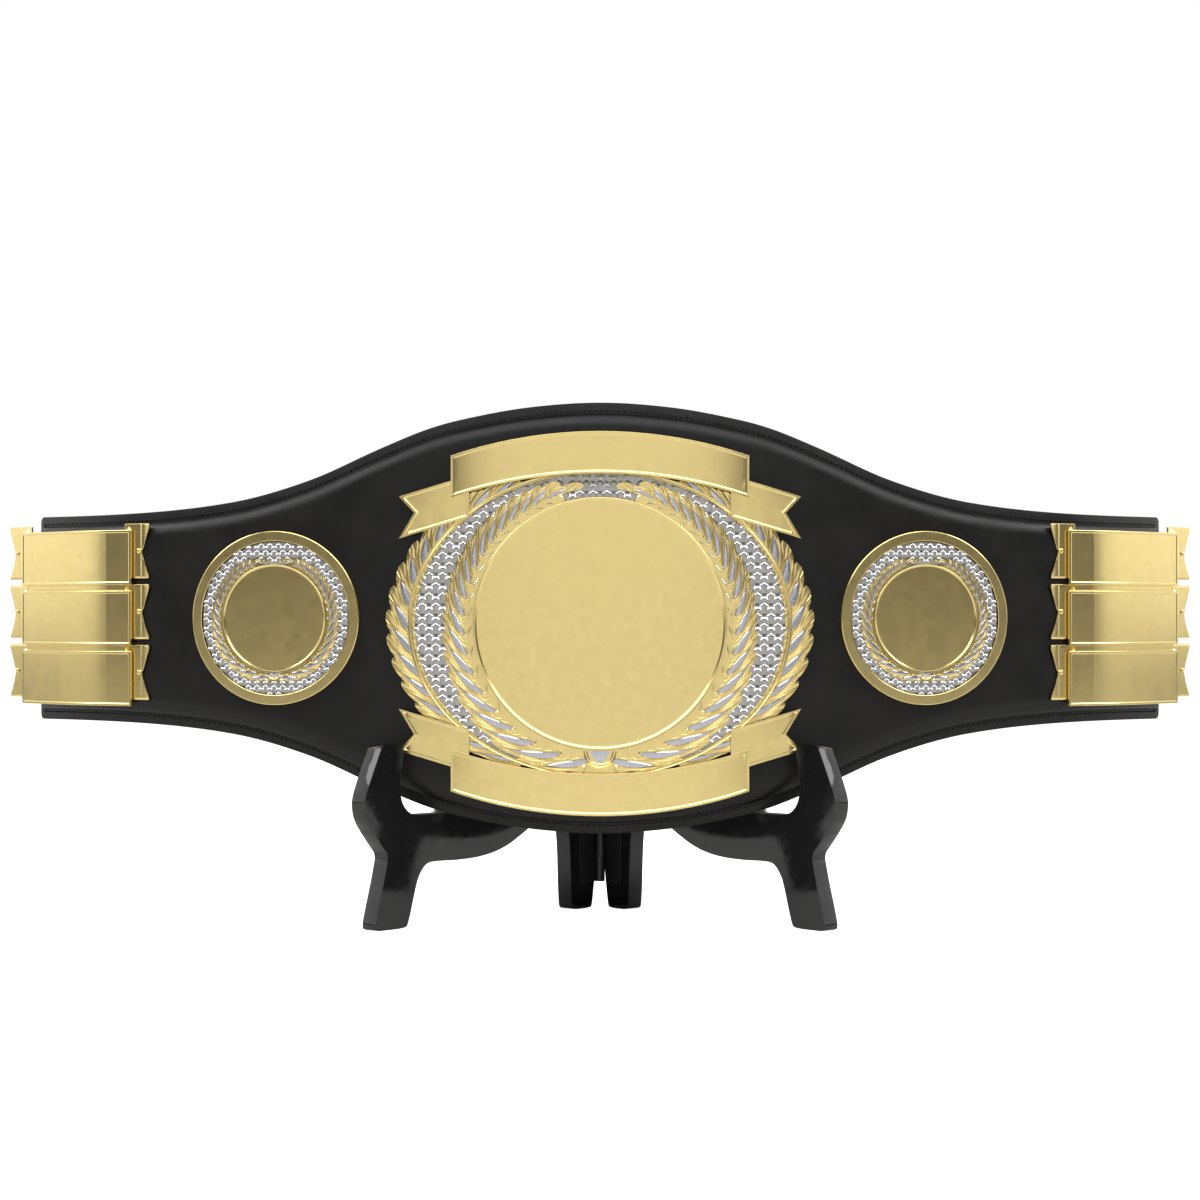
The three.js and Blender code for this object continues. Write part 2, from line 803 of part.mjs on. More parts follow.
// The wings of one bar: notched plates behind its two ends, with a hole for a pin
function barWing(bar, direction) {
  const low = barBottom(bar) + foldRise;
  const high = low + barHeight;
  const middle = (low + high) / 2;
  const end = direction > 0 ? barStart + barLength : barStart;
  const wingReach = direction > 0 ? outerWingReach : innerWingReach;
  const at = (beyond, above) => new THREE.Vector2(end + direction * beyond, above);
  const outline = [
    at(-barTaper - wingTuck, low),
    at(wingReach - wingCorner, low),
    at(wingReach, low + wingCorner),
    at(wingReach - wingNotch, middle),
    at(wingReach, high - wingCorner),
    at(wingReach - wingCorner, high),
    at(-barTaper - wingTuck, high),
  ];
  const pinHole = ovalOutline(pinRadius + seatGap, pinRadius + seatGap, 6);
  const centre = at(wingReach - pinPlace, middle);
  const hole = pinHole.map((point) => point.add(centre));
  return plate(outline, [hole], plateBase, wingThickness);
}

// One bar: a panel on a body that folds back, up and in to its wings
function bar(index) {
  const low = barBottom(index);
  const high = low + barHeight;
  const front = plateBase + barDepth;
  const behind = front - barFace;
  const end = barStart + barLength;
  const lowRing = (along, rise, out) => [
    [along, low + rise, out],
    [along, high + rise, out],
  ];
  const ringAt = (inset, rise, out) => {
    const left = lowRing(barStart + inset, rise, out);
    const right = lowRing(end - inset, rise, out);
    return [left[0], right[0], right[1], left[1]];
  };
  const body = lofted([ringAt(0, 0, behind + weldDepth), ringAt(barTaper, foldRise, plateBase)]);
  const panel = block(barStart, end, low, high, behind, front);
  return joined([body, panel, barWing(index, 1), barWing(index, -1)]);
}

function endPlate() {
  const pieces = [];
  for (let index = 0; index < barCount; index++) pieces.push(bar(index));
  const front = plateBase + barDepth - linkSetback;
  for (let index = 1; index < barCount; index++) {
    const high = barBottom(index) + weldDepth;
    const low = barBottom(index - 1) + barHeight - weldDepth;
    pieces.push(
      block(barStart + linkInset, barStart + barLength - linkInset, low, high, front - linkThickness, front),
    );
  }
  return bentAlong("onPlates", joined(pieces));
}

// A round-headed pin through the wing of a bar
function endPin(index, direction) {
  const end = direction > 0 ? barStart + barLength : barStart;
  const wingReach = direction > 0 ? outerWingReach : innerWingReach;
  const headBase = plateBase + wingThickness + seatGap;
  const profile = [
    [0, plateBase],
    [pinRadius, plateBase],
    [pinRadius, headBase],
    [pinHeadRadius, headBase],
    [0.8 * pinHeadRadius, headBase + 0.7 * pinHeadHeight],
    [0, headBase + pinHeadHeight],
  ];
  const along = end + direction * (wingReach - pinPlace);
  const above = barBottom(index) + foldRise + barHeight / 2;
  return bentAlong("onPlates", turned(profile, 6).translate(along, above, 0));
}

// Place of the stand: its upright touches the back of the strap, and its ledge the lower edge
const spread = THREE.MathUtils.degToRad(boardSpread);
const boardEndX = (boardThickness / 2) * Math.cos(spread) + seatGap;
const seatX = boardEndX + boardBackReach * Math.sin(spread) - (boardThickness / 2) * Math.cos(spread);
const seatStretch = stretchAt(bendPath, "x", seatX);
const atSeat = (key) => THREE.MathUtils.lerp(seatStretch.from[key], seatStretch.to[key], seatStretch.share);
const seatPlace = atSeat("onLeather");
const seatY = atSeat("y") + seatGap;
const boardEndY = seatY + boardBackReach * Math.cos(spread) + (boardThickness / 2) * Math.sin(spread);
const ledgeHeight = strapCentreHeight - strapHalfHeightAt(seatPlace) - seatGap;

// One board of the stand, with its hinge end at zero and its front foot at a negative length
function easelBoard() {
  const fromFront = ({ along, up }) =>
    new THREE.Vector2(along * boardFrontReach - boardFrontReach - boardBackReach, up * ledgeHeight);
  const fromSeat = ({ along, up }) => new THREE.Vector2((along - 1) * boardBackReach, up * ledgeHeight);
  const outline = [
    ...boardFrontRows.map(fromFront),
    ...boardBackRows.map(fromSeat),
    ...boardLegRows.map(fromFront),
  ];
  const geometry = new THREE.ExtrudeGeometry(new THREE.Shape(outline), {
    depth: boardThickness,
    bevelEnabled: false,
  });
  return geometry.translate(0, 0, -boardThickness / 2);
}

// The hinge's axis, clear of the inner faces of both boards
const cornerY = boardEndY - (boardThickness / 2) * Math.sin(spread);
const hingeY = cornerY - (hingeBarrelRadius + seatGap - seatGap * Math.cos(spread)) / Math.sin(spread);

// One hinge knuckle round the pin, with the tab that joins it to its leaf
function knuckle(index) {
  const low = hingeLow + index * knuckleLength + seatGap / 2;
  const high = low + knuckleLength - seatGap;
  const bore = hingePinRadius + seatGap;
  const ring = turned(
    [
      [bore, low],
      [hingeBarrelRadius, low],
      [hingeBarrelRadius, high],
      [bore, high],
      [bore, low],
    ],
    10,
  );
  const outer = hingeBarrelRadius;
  const tab = upright(0, outer + 2 * seatGap, outer - leafThickness, outer, low, high);
  return [ring, tab];
}

// A block that stands on the floor's plane, from its least to its most x, y and z
function upright(xFrom, xTo, yFrom, yTo, low, high) {
  const made = new THREE.BoxGeometry(xTo - xFrom, yTo - yFrom, high - low);
  return made.translate((xFrom + xTo) / 2, (yFrom + yTo) / 2, (low + high) / 2);
}

// The leaf on the right board, with every other knuckle from the first one given
function hingeLeaf(firstKnuckle) {
  const outer = hingeBarrelRadius;
  const top = hingeLow + hingeKnuckles * knuckleLength;
  const pieces = [upright(outer + seatGap, leafLength, outer - leafThickness, outer, hingeLow, top)];
  for (let index = firstKnuckle; index < hingeKnuckles; index += 2) pieces.push(...knuckle(index));
  return joined(pieces).rotateZ(spread - Math.PI / 2);
}

function hingePin() {
  const length = hingeKnuckles * knuckleLength;
  const pin = new THREE.CylinderGeometry(hingePinRadius, hingePinRadius, length, 10);
  return pin.rotateX(Math.PI / 2).translate(0, 0, hingeLow + length / 2);
}

function mesh(name, geometry, finish) {
  const made = new THREE.Mesh(geometry, finish);
  made.name = name;
  made.geometry.computeVertexNormals();
  return made;
}

const belt = new THREE.Group();
belt.add(
  mesh("strap_backing", strapBacking(), leather),
  mesh("strap_pad", strapPad(), leather),
  mesh("main_back_plate", mainBackPlate(), gold),
  mesh("main_scale_field", mainScaleField(), silver),
  mesh("main_outer_wreath_right", mainOuterWreath(), gold),
  mesh("main_outer_wreath_left", mirrored(mainOuterWreath()), gold),
  mesh("main_round_wreath", mainRoundWreath(), gold),
  mesh("main_disc", mainDisc(), gold),
  mesh("top_ribbon", ribbon(1), gold),
  mesh("bottom_ribbon", ribbon(-1), gold),
);
for (const [side, place] of [
  ["right", (geometry) => geometry],
  ["left", mirrored],
]) {
  belt.add(
    mesh("medallion_rim_" + side, place(medallionRim()), gold),
    mesh("medallion_scale_field_" + side, place(medallionScaleField()), silver),
    mesh("medallion_wreath_" + side, place(medallionWreath()), gold),
    mesh("medallion_disc_" + side, place(medallionDisc()), gold),
    mesh("end_plate_" + side, place(endPlate()), gold),
  );
  for (let index = 0; index < barCount; index++) {
    belt.add(
      mesh("end_pin_" + side + "_outer_" + (index + 1), place(endPin(index, 1)), gold),
      mesh("end_pin_" + side + "_inner_" + (index + 1), place(endPin(index, -1)), gold),
    );
  }
}

const stand = new THREE.Group();
for (const [side, sign] of [
  ["left", -1],
  ["right", 1],
]) {
  const board = mesh("easel_board_" + side, easelBoard(), blackBoard);
  board.rotation.set(Math.PI / 2, Math.PI / 2 + sign * spread, 0, "ZXY");
  board.position.set(sign * boardEndX, boardEndY, 0);
  stand.add(board);
}

const hinge = new THREE.Group();
hinge.position.set(0, hingeY, 0);
hinge.add(
  mesh("hinge_leaf_right", hingeLeaf(1), blackSteel),
  mesh("hinge_leaf_left", mirrored(hingeLeaf(0)), blackSteel),
  mesh("hinge_pin", hingePin(), blackSteel),
);
stand.add(hinge);

const part = new THREE.Group();
part.add(belt, stand);
const bounds = new THREE.Box3().setFromObject(part, true);
const centre = bounds.getCenter(new THREE.Vector3());
part.position.set(-centre.x, -centre.y, -bounds.min.z);

export default part;
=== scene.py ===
import math

import bmesh
import bpy
from mathutils import Matrix, Vector


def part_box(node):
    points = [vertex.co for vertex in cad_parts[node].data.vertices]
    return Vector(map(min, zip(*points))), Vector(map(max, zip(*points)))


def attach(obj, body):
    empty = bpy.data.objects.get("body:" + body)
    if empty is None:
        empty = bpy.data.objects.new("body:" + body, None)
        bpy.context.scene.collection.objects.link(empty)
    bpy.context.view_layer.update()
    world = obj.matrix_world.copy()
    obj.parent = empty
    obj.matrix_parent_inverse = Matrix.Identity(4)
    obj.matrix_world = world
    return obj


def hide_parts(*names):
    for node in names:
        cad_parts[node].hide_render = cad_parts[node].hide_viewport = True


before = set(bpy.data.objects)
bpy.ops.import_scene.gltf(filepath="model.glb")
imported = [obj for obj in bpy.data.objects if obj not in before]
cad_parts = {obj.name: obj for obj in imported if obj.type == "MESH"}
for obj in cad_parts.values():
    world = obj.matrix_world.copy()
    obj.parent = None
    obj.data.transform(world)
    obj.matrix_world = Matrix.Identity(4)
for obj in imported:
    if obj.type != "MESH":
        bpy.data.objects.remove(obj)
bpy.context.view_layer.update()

# All sizes are in millimetres until a piece is laid in its place
millimetre = 0.001


# Colours and shader nodes
def hexColour(code):
    channels = [int(code[index:index + 2], 16) / 255 for index in (1, 3, 5)]
    linear = [value / 12.92 if value <= 0.04045 else ((value + 0.055) / 1.055) ** 2.4 for value in channels]
    return (*linear, 1.0)


def addNode(tree, kind, settings=None, links=None):
    node = tree.nodes.new(kind)
    for name, value in (settings or {}).items():
        if name in node.inputs:
            node.inputs[name].default_value = value
        else:
            setattr(node, name, value)
    for name, socket in (links or {}).items():
        tree.links.new(socket, node.inputs[name])
    return node


# A surface from its look. A pattern's row has its kind, its size in millimetres, its stretch upwards
# and its settings. The first pattern blends the tones and sets the dullness, and a relief's row has
# the pattern that raises the surface, its strength and its height in millimetres.
def makeSurface(name, look):
    made = bpy.data.materials.new(name)
    made.use_nodes = True
    made.diffuse_color = hexColour(look.get("preview", look["tones"][0]))
    tree = made.node_tree
    place = addNode(tree, "ShaderNodeTexCoord").outputs["Object"]
    patterns = {}
    for part, (kind, size, stretch, settings) in look["patterns"].items():
        vector = place
        if stretch != 1:
            mapping = addNode(tree, "ShaderNodeMapping", {"Scale": (1, 1, 1 / stretch)}, {"Vector": place})
            vector = mapping.outputs["Vector"]
        settings = dict(settings, Scale=1000 / size)
        texture = addNode(tree, "ShaderNodeTex" + kind, settings, {"Vector": vector})
        patterns[part] = texture.outputs["Distance" if kind == "Voronoi" else "Fac"]
    leading = next(iter(patterns.values()))
    settings, links, normal = dict(look["shader"]), {}, {}
    settings["Base Color"] = hexColour(look["tones"][0])
    if len(look["tones"]) == 2:
        blend = addNode(tree, "ShaderNodeMix", {"data_type": "RGBA"}, {"Factor": leading})
        blend.inputs[6].default_value = hexColour(look["tones"][0])
        blend.inputs[7].default_value = hexColour(look["tones"][1])
        links["Base Color"] = blend.outputs[2]
    if "dullness" in look:
        ends = dict(zip(("From Min", "From Max", "To Min", "To Max"), look["dullness"]))
        dullness = addNode(tree, "ShaderNodeMapRange", ends, {"Value": leading})
        links["Roughness"] = dullness.outputs["Result"]
    for part, strength, height in look.get("reliefs", []):
        sizes = {"Strength": strength, "Distance": height * millimetre}
        bump = addNode(tree, "ShaderNodeBump", sizes, {"Height": patterns[part], **normal})
        normal = {"Normal": bump.outputs["Normal"]}
    shader = tree.nodes["Principled BSDF"]
    for name, value in settings.items():
        shader.inputs[name].default_value = value
    for name, socket in {**links, **normal}.items():
        tree.links.new(socket, shader.inputs[name])
    return made


# Gold-plated zinc, cast and then satin polished: warm, nearly mirror bright, with a soft haze
goldLook = {
    "tones": ("#E9D392", "#E0C986"),
    "patterns": {"haze": ("Noise", 7, 1, {"Detail": 3.0}), "brush": ("Noise", 0.9, 16, {"Detail": 2.0})},
    "dullness": (0.3, 0.7, 0.19, 0.23),
    "reliefs": [("brush", 0.3, 0.01)],
    "shader": {"Metallic": 1.0},
}
# Silver plating on the cast relief: cooler and greyer than the gold, with a fine cast grain
silverLook = {
    "tones": ("#C6C6CB", "#B6B6BC"),
    "patterns": {"grain": ("Noise", 2.2, 1, {"Detail": 4.0})},
    "dullness": (0.3, 0.7, 0.2, 0.3),
    "reliefs": [("grain", 0.4, 0.02)],
    "shader": {"Metallic": 1.0},
}
# The same plating made greyer and duller, for the scale field and the bodies of its scales
greySilverLook = dict(
    silverLook,
    tones=("#B9B7B3", "#9D9A96"),
    patterns={"grain": ("Noise", 2.6, 1, {"Detail": 4.0})},
    dullness=(0.3, 0.7, 0.3, 0.42),
    reliefs=[("grain", 0.4, 0.05)],
)
# A nearly black copy of it, for flat sheets in the scales' pockets and channels: painted shade
paintedShadeLook = dict(greySilverLook, tones=("#827F7C", "#5E5C5A"))
# Smooth corrected-grain cowhide, dyed through and finished satin: a broad soft sheen over fine
# pores. The real ones are about 0.3 mm, too fine to show, so they are drawn 1.1 mm wide.
leatherLook = {
    "tones": ("#0E0D0D", "#161514"),
    "patterns": {"creases": ("Noise", 24, 1, {"Detail": 5.0}), "pores": ("Voronoi", 1.1, 1, {})},
    "dullness": (0.3, 0.7, 0.3, 0.4),
    "reliefs": [("creases", 0.5, 0.25), ("pores", 0.5, 0.05)],
    "shader": {"IOR": 1.34},
}
# Waxed black nylon thread: twisted, with a dull shine
threadLook = {
    "preview": "#0D0D0D",
    "tones": ("#050505",),
    "patterns": {"twist": ("Wave", 1000 / 900, 1, {"Distortion": 2.0})},
    "reliefs": [("twist", 0.5, 0.1)],
    "shader": {"Roughness": 0.8},
}
# Cast acrylic sheet, cut and flame polished: deep black under a wet gloss, faintly wavy. Its base tone is
# lifted above that black, which the preview keeps, as a painted reflection spread evenly over the boards.
acrylicLook = {
    "preview": "#060607",
    "tones": ("#131314",),
    "patterns": {"dust": ("Noise", 6, 1, {"Detail": 4.0}), "wave": ("Noise", 45, 1, {"Detail": 1.0})},
    "dullness": (0.35, 0.75, 0.04, 0.12),
    "reliefs": [("wave", 0.2, 0.2)],
    "shader": {"IOR": 1.49},
}
# Steel hinge under black powder paint: an even fine orange peel
steelLook = {
    "preview": "#141415",
    "tones": ("#101011", "#1C1C1E"),
    "patterns": {"peel": ("Noise", 1.2, 1, {"Detail": 2.0})},
    "reliefs": [("peel", 0.4, 0.05)],
    "shader": {"Roughness": 0.35},
}
gold = makeSurface("goldPlating", goldLook)
silver = makeSurface("silverPlating", silverLook)
greySilver = makeSurface("greySilver", greySilverLook)
paintedShade = makeSurface("paintedShade", paintedShadeLook)
leather = makeSurface("cowhide", leatherLook)
thread = makeSurface("waxedThread", threadLook)
acrylic = makeSurface("blackAcrylic", acrylicLook)
hingeSteel = makeSurface("paintedSteel", steelLook)
print("materials ready")


# The open belt: its bend and its outline, as shares of its half length
belt = {
    "halfLength": 434,
    "halfHeight": 147.5,
    "centreHeight": 210,
    "endYaw": 49,
    "bend": [
        (0, 0), (0.32, 0.14), (0.52, 0.26), (0.68, 0.385), (0.77, 0.56), (0.91, 0.87), (1, 0.97), (1.1, 1),
    ],
    "outline": [
        (0, 1), (0.115, 0.977), (0.217, 0.923), (0.274, 0.877), (0.348, 0.79), (0.463, 0.645),
        (0.592, 0.546), (0.779, 0.498), (1.1, 0.498),
    ],
    "backing": 3,
    "corner": 4,
    "pad": 7,
    "gap": 0.3,
    "step": 1,
}
padBase = belt["backing"] + belt["gap"]
plateBase = padBase + belt["pad"] + belt["gap"]
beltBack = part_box("strap_backing")[0][1] / millimetre + belt["backing"]


# A smooth curve through the rows of a table, level where it starts and straight where it ends
def smoothTable(rows):
    def valueAt(place):
        index = next((at for at, row in enumerate(rows) if row[0] > place), len(rows) - 1)
        index = max(1, index)
        (t0, v0), (t1, v1) = rows[index - 1], rows[index]
        tBefore, vBefore = rows[index - 2] if index > 1 else (2 * t0 - t1, v1)
        tAfter, vAfter = rows[index + 1] if index + 1 < len(rows) else (2 * t1 - t0, 2 * v1 - v0)
        share = (place - t0) / (t1 - t0)
        slope0 = (v1 - vBefore) / (t1 - tBefore) * (t1 - t0)
        slope1 = (vAfter - v0) / (tAfter - t0) * (t1 - t0)
        square, cube = share ** 2, share ** 3
        return (
            (2 * cube - 3 * square + 1) * v0
            + (cube - 2 * square + share) * slope0
            + (3 * square - 2 * cube) * v1
            + (cube - square) * slope1
        )

    return valueAt


yawShare = smoothTable(belt["bend"])
heightShare = smoothTable(belt["outline"])


# Stations every millimetre along half the belt: place on the leather, on the plates, x, y and yaw
def beltStations():
    stations = []
    place, onPlates, x, y = 0.0, 0.0, 0.0, 0.0
    before = None
    while place <= belt["bend"][-1][0] * belt["halfLength"]:
        yaw = math.radians(belt["endYaw"] * yawShare(place / belt["halfLength"]))
        if before is not None:
            middle = (yaw + before) / 2
            x += belt["step"] * math.cos(middle)
            y += belt["step"] * math.sin(middle)
            onPlates += belt["step"] + plateBase * (yaw - before)
        stations.append((place, onPlates, x, y, yaw))
        before = yaw
        place += belt["step"]
    return stations


stations = beltStations()


def stationAt(layer, length):
    column = 0 if layer == "leather" else 1
    low, high = 0, len(stations) - 1
    while high - low > 1:
        middle = (low + high) // 2
        if stations[middle][column] > length:
            high = middle
        else:
            low = middle
    near, far = stations[low], stations[high]
    share = (length - near[column]) / (far[column] - near[column])
    return [a + (b - a) * share for a, b in zip(near, far)]


# A point of the belt, from its flat place: along the layer, above the belt's middle, out from its back
def beltPoint(flat, layer):
    place, onPlates, x, y, yaw = stationAt(layer, abs(flat.x))
    side = -1 if flat.x < 0 else 1
    across = side * (x + flat.z * math.sin(yaw))
    return Vector((across, beltBack + y - flat.z * math.cos(yaw), belt["centreHeight"] + flat.y))


def halfHeightAt(along):
    return belt["halfHeight"] * heightShare(abs(along) / belt["halfLength"])


besideFlatTurn = 3.5


# Edges turn sharp past an angle, and far sooner beside a large flat face, which keeps its own shade
def markSharp(bm, degrees, flatArea, planar):
    limit = flatArea * millimetre ** 2
    for edge in bm.edges:
        besideFlat = any(face.calc_area() > limit for face in edge.link_faces)
        turn = edge.calc_face_angle(0) if edge.is_manifold else math.pi
        edge.smooth = turn < math.radians(besideFlatTurn if besideFlat else degrees)
    for face in bm.faces:
        face.smooth = not (planar and face.calc_area() > limit)


def finishPiece(name, bm, material, nodes=(), sharpAngle=38, flatArea=1e6, planar=False):
    bmesh.ops.scale(bm, vec=(millimetre,) * 3, verts=bm.verts)
    markSharp(bm, sharpAngle, flatArea, planar)
    mesh = bpy.data.meshes.new(name)
    bm.to_mesh(mesh)
    bm.free()
    piece = bpy.data.objects.new(name, mesh)
    bpy.context.scene.collection.objects.link(piece)
    mesh.materials.append(material)
    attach(piece, "root")
    if nodes:
        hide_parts(*nodes)
    return piece


# Lays a flat shape on the belt, moved first by an offset along and above, on one side of it
def layOnBelt(bm, layer="plates", offset=(0, 0), side=1):
    for vert in bm.verts:
        flat = Vector((vert.co.x + offset[0], vert.co.y + offset[1], vert.co.z))
        flat.x *= side
        vert.co = beltPoint(flat, layer)
    if side < 0:
        bmesh.ops.reverse_faces(bm, faces=bm.faces)


# Closes open sheets down to one level behind them, or by one thickness
def closeBehind(bm, level=None, thickness=None):
    made = bmesh.ops.extrude_face_region(bm, geom=bm.faces[:])
    for vert in (item for item in made["geom"] if isinstance(item, bmesh.types.BMVert)):
        vert.co.z = level if thickness is None else vert.co.z - thickness
    bmesh.ops.recalc_face_normals(bm, faces=bm.faces)


# A grid whose points a function places by their shares of both ways
def gridSheet(bm, alongSteps, aboveSteps, place):
    made = bmesh.ops.create_grid(bm, x_segments=alongSteps, y_segments=aboveSteps, size=0.5)
    for vert in made["verts"]:
        vert.co = place(vert.co.x + 0.5, vert.co.y + 0.5)


# A grid with its doubles merged, closed behind
def closedSheet(alongSteps, aboveSteps, place, level, merge=0):
    bm = bmesh.new()
    gridSheet(bm, alongSteps, aboveSteps, place)
    if merge:
        bmesh.ops.remove_doubles(bm, verts=bm.verts, dist=merge)
    closeBehind(bm, level)
    return bm


# Puts a second shape into the first one
def addFrom(bm, other):
    spare = bpy.data.meshes.new("spare")
    other.to_mesh(spare)
    other.free()
    bm.from_mesh(spare)
    bpy.data.meshes.remove(spare)


# A copy of a shape on the other side of the middle
def mirroredCopy(bm):
    other = bm.copy()
    bmesh.ops.scale(other, vec=(-1, 1, 1), verts=other.verts)
    bmesh.ops.reverse_faces(other, faces=other.faces)
    return other


# Rounds the edges that turn by more than an angle
def bevelEdges(bm, width, degrees=60, segments=2):
    limit = math.radians(degrees)
    bmesh.ops.bevel(
        bm,
        geom=[edge for edge in bm.edges if edge.is_manifold and edge.calc_face_angle(0) > limit],
        offset=width,
        segments=segments,
        profile=0.5,
        affect="EDGES",
        clamp_overlap=True,
        material=-1,
    )


def bevelCorners(bm, corners, width):
    bmesh.ops.bevel(
        bm, geom=corners, offset=width, segments=4, profile=0.5, affect="VERTICES", material=-1
    )


# A raised rim round a sheet: a band, a short wall and the sunk middle
def sinkInside(bm, look, share=1.0):
    bmesh.ops.inset_region(
        bm, faces=bm.faces[:], thickness=look["rim"], use_even_offset=True, use_boundary=True
    )
    rimFaces = {face for face in bm.faces if any(edge.is_boundary for edge in face.edges)}
    inner = [face for face in bm.faces if face not in rimFaces]
    bmesh.ops.inset_region(
        bm, faces=inner, thickness=look["wall"], depth=-share * look["sunk"], use_even_offset=True
    )


# A round piece turned about its middle from rows of radius and height
def turnRound(rows, steps):
    bm = bmesh.new()
    verts = [bm.verts.new((radius, 0, height)) for radius, height in rows]
    edges = [bm.edges.new(pair) for pair in zip(verts, verts[1:])]
    bmesh.ops.spin(
        bm,
        geom=verts + edges,
        cent=(0, 0, 0),
        axis=(0, 0, 1),
        angle=2 * math.pi,
        steps=steps,
        use_merge=True,
    )
    bmesh.ops.remove_doubles(bm, verts=bm.verts, dist=1e-4)
    bmesh.ops.recalc_face_normals(bm, faces=bm.faces)
    return bm


# Rings of a flat round field, from inside its edge to its middle
def fieldRings(radius, height, rings):
    return [(radius * (1 - index / rings), height) for index in range(1, rings + 1)]


# The leather: the flat backing with its cut edge
def strapBacking():
    bm = bmesh.new()

    def place(u, v):
        along = (2 * u - 1) * belt["halfLength"]
        return Vector((along, (2 * v - 1) * halfHeightAt(along), belt["backing"]))

    gridSheet(bm, 216, 10, place)
    bevelCorners(bm, [vert for vert in bm.verts if len(vert.link_edges) == 2], belt["corner"])
    closeBehind(bm, level=0)
    bevelEdges(bm, 0.7)
    layOnBelt(bm, "leather")
    return finishPiece("strapBacking", bm, leather, ["strap_backing"])


padShape = {
    "border": 7,
    "shoulder": 12,
    "stitchedEdge": 0.22,
    "edgeSlope": 12,
    "roundness": 1.35,
    "rows": [0, 0.25, 0.7, 1.4, 2.4, 3.8, 5.6, 7.8, 10, 12, 16, 24],
    "middleRows": 8,
    "middleColumns": 200,
}


# Height of the padded front over its foot, for a distance in from the stitched edge
def padRise(inward, look):
    share = min(1.0, max(0.0, inward / look["shoulder"]))
    rounded = math.sqrt(1 - (1 - share) ** 2) ** look["roundness"]
    edge = look["stitchedEdge"]
    return belt["pad"] * (edge * min(1, share * look["edgeSlope"]) + (1 - edge) * rounded)


def strapPad(look):
    bm = bmesh.new()
    halfLength = belt["halfLength"] - look["border"]
    inward = look["rows"]
    middle = [index / look["middleRows"] for index in range(1, look["middleRows"])]
    endStations = [-halfLength + row for row in inward]
    span = halfLength - inward[-1]
    count = look["middleColumns"]
    between = [-span + 2 * span * index / count for index in range(1, count)]
    alongs = endStations + between + [-place for place in reversed(endStations)]
    columns = []
    for along in alongs:
        half = halfHeightAt(along) - look["border"]
        low = [-half + row for row in inward]
        inner = half - inward[-1]
        aboves = low + [inner * (2 * share - 1) for share in middle] + [-value for value in reversed(low)]
        columns.append([(along, above, half) for above in aboves])

    def place(u, v):
        along, above, half = columns[round(u * (len(alongs) - 1))][round(v * (len(columns[0]) - 1))]
        toEdge = min(half - abs(above), halfLength - abs(along))
        return Vector((along, above, padBase + padRise(toEdge, look)))

    gridSheet(bm, len(alongs) - 1, len(columns[0]) - 1, place)
    closeBehind(bm, level=padBase)
    layOnBelt(bm, "leather")
    piece = finishPiece("strapPad", bm, leather, ["strap_pad"], 60)
    return piece


stitching = {
    "inset": 5.4,
    "pitch": 3.9,
    "length": 2.9,
    "width": 1.3,
    "height": 0.9,
    "pathSteps": 400,
}


# Lockstitch round the border: one small rounded thread for each stitch
def borderStitches(look):
    bm = bmesh.new()
    path = []
    halfLength = belt["halfLength"] - look["inset"]
    for index in range(look["pathSteps"] + 1):
        along = -halfLength + 2 * halfLength * index / look["pathSteps"]
        path.append(Vector((along, halfHeightAt(along) - look["inset"])))
    path += [Vector((point.x, -point.y)) for point in reversed(path)]
    path.append(path[0])
    left = 0.0
    for start, end in zip(path, path[1:]):
        length = (end - start).length
        while left < length:
            centre = start.lerp(end, left / length)
            turn = math.atan2(end.y - start.y, end.x - start.x)
            size = Matrix.Diagonal((look["length"] / 2, look["width"] / 2, look["height"], 1))
            middle = Matrix.Translation((centre.x, centre.y, belt["backing"]))
            where = middle @ Matrix.Rotation(turn, 4, "Z") @ size
            bmesh.ops.create_uvsphere(bm, u_segments=6, v_segments=4, radius=1, matrix=where)
            left += look["pitch"]
        left -= length
    layOnBelt(bm, "leather")
    return finishPiece("borderStitches", bm, thread, (), 80)


strapBacking()
strapPad(padShape)
borderStitches(stitching)
print("leather ready")


# The centre plate and what is shared by its layers. Scales also show in a gap at the wreath's top,
# and the edge of the wreath is further out at the top: its rows are a height and that edge.
centrePlate = {
    "drop": -3.8,
    "plate": 2.4,
    "field": 1.4,
    "overlay": 1.8,
    "discRadius": 86,
    "disc": {"radius": 86.1, "rim": 2.4, "relief": 0.75, "steps": 240},
    "wreathWidth": 21.1,
    "wreathEdges": [(88, 97), (72, 101)],
    "scaleGap": 38,
    "scaleShift": 1.5,
    "ovalHalfWidth": 130.5,
    "ovalHalfHeight": 104.9,
    "ovalLine": 3.2,
    "laurelReach": 15.4,
    "laurelTips": 2.6,
    "laurelRise": 6,
    "laurelSpan": math.radians(66),
    "laurelFade": math.radians(3),
    "edgeInset": 1.2,
}
fieldBase = plateBase + centrePlate["plate"] + belt["gap"]
overlayBase = fieldBase + centrePlate["field"] + belt["gap"]
tailBase = overlayBase + centrePlate["overlay"] + belt["gap"]
atCentre = (0, centrePlate["drop"])


def ovalPoint(halfWidth, halfHeight, angle, height=0.0):
    return Vector((halfWidth * math.cos(angle), halfHeight * math.sin(angle), height))


# How far the plate's edge stands out of its oval at an angle: the laurels stand at both sides
def laurelShare(angle):
    fromSide = abs(math.remainder(angle, math.pi))
    past = (fromSide - centrePlate["laurelSpan"]) / centrePlate["laurelFade"]
    return min(1.0, max(0.0, 0.5 - past / 2))


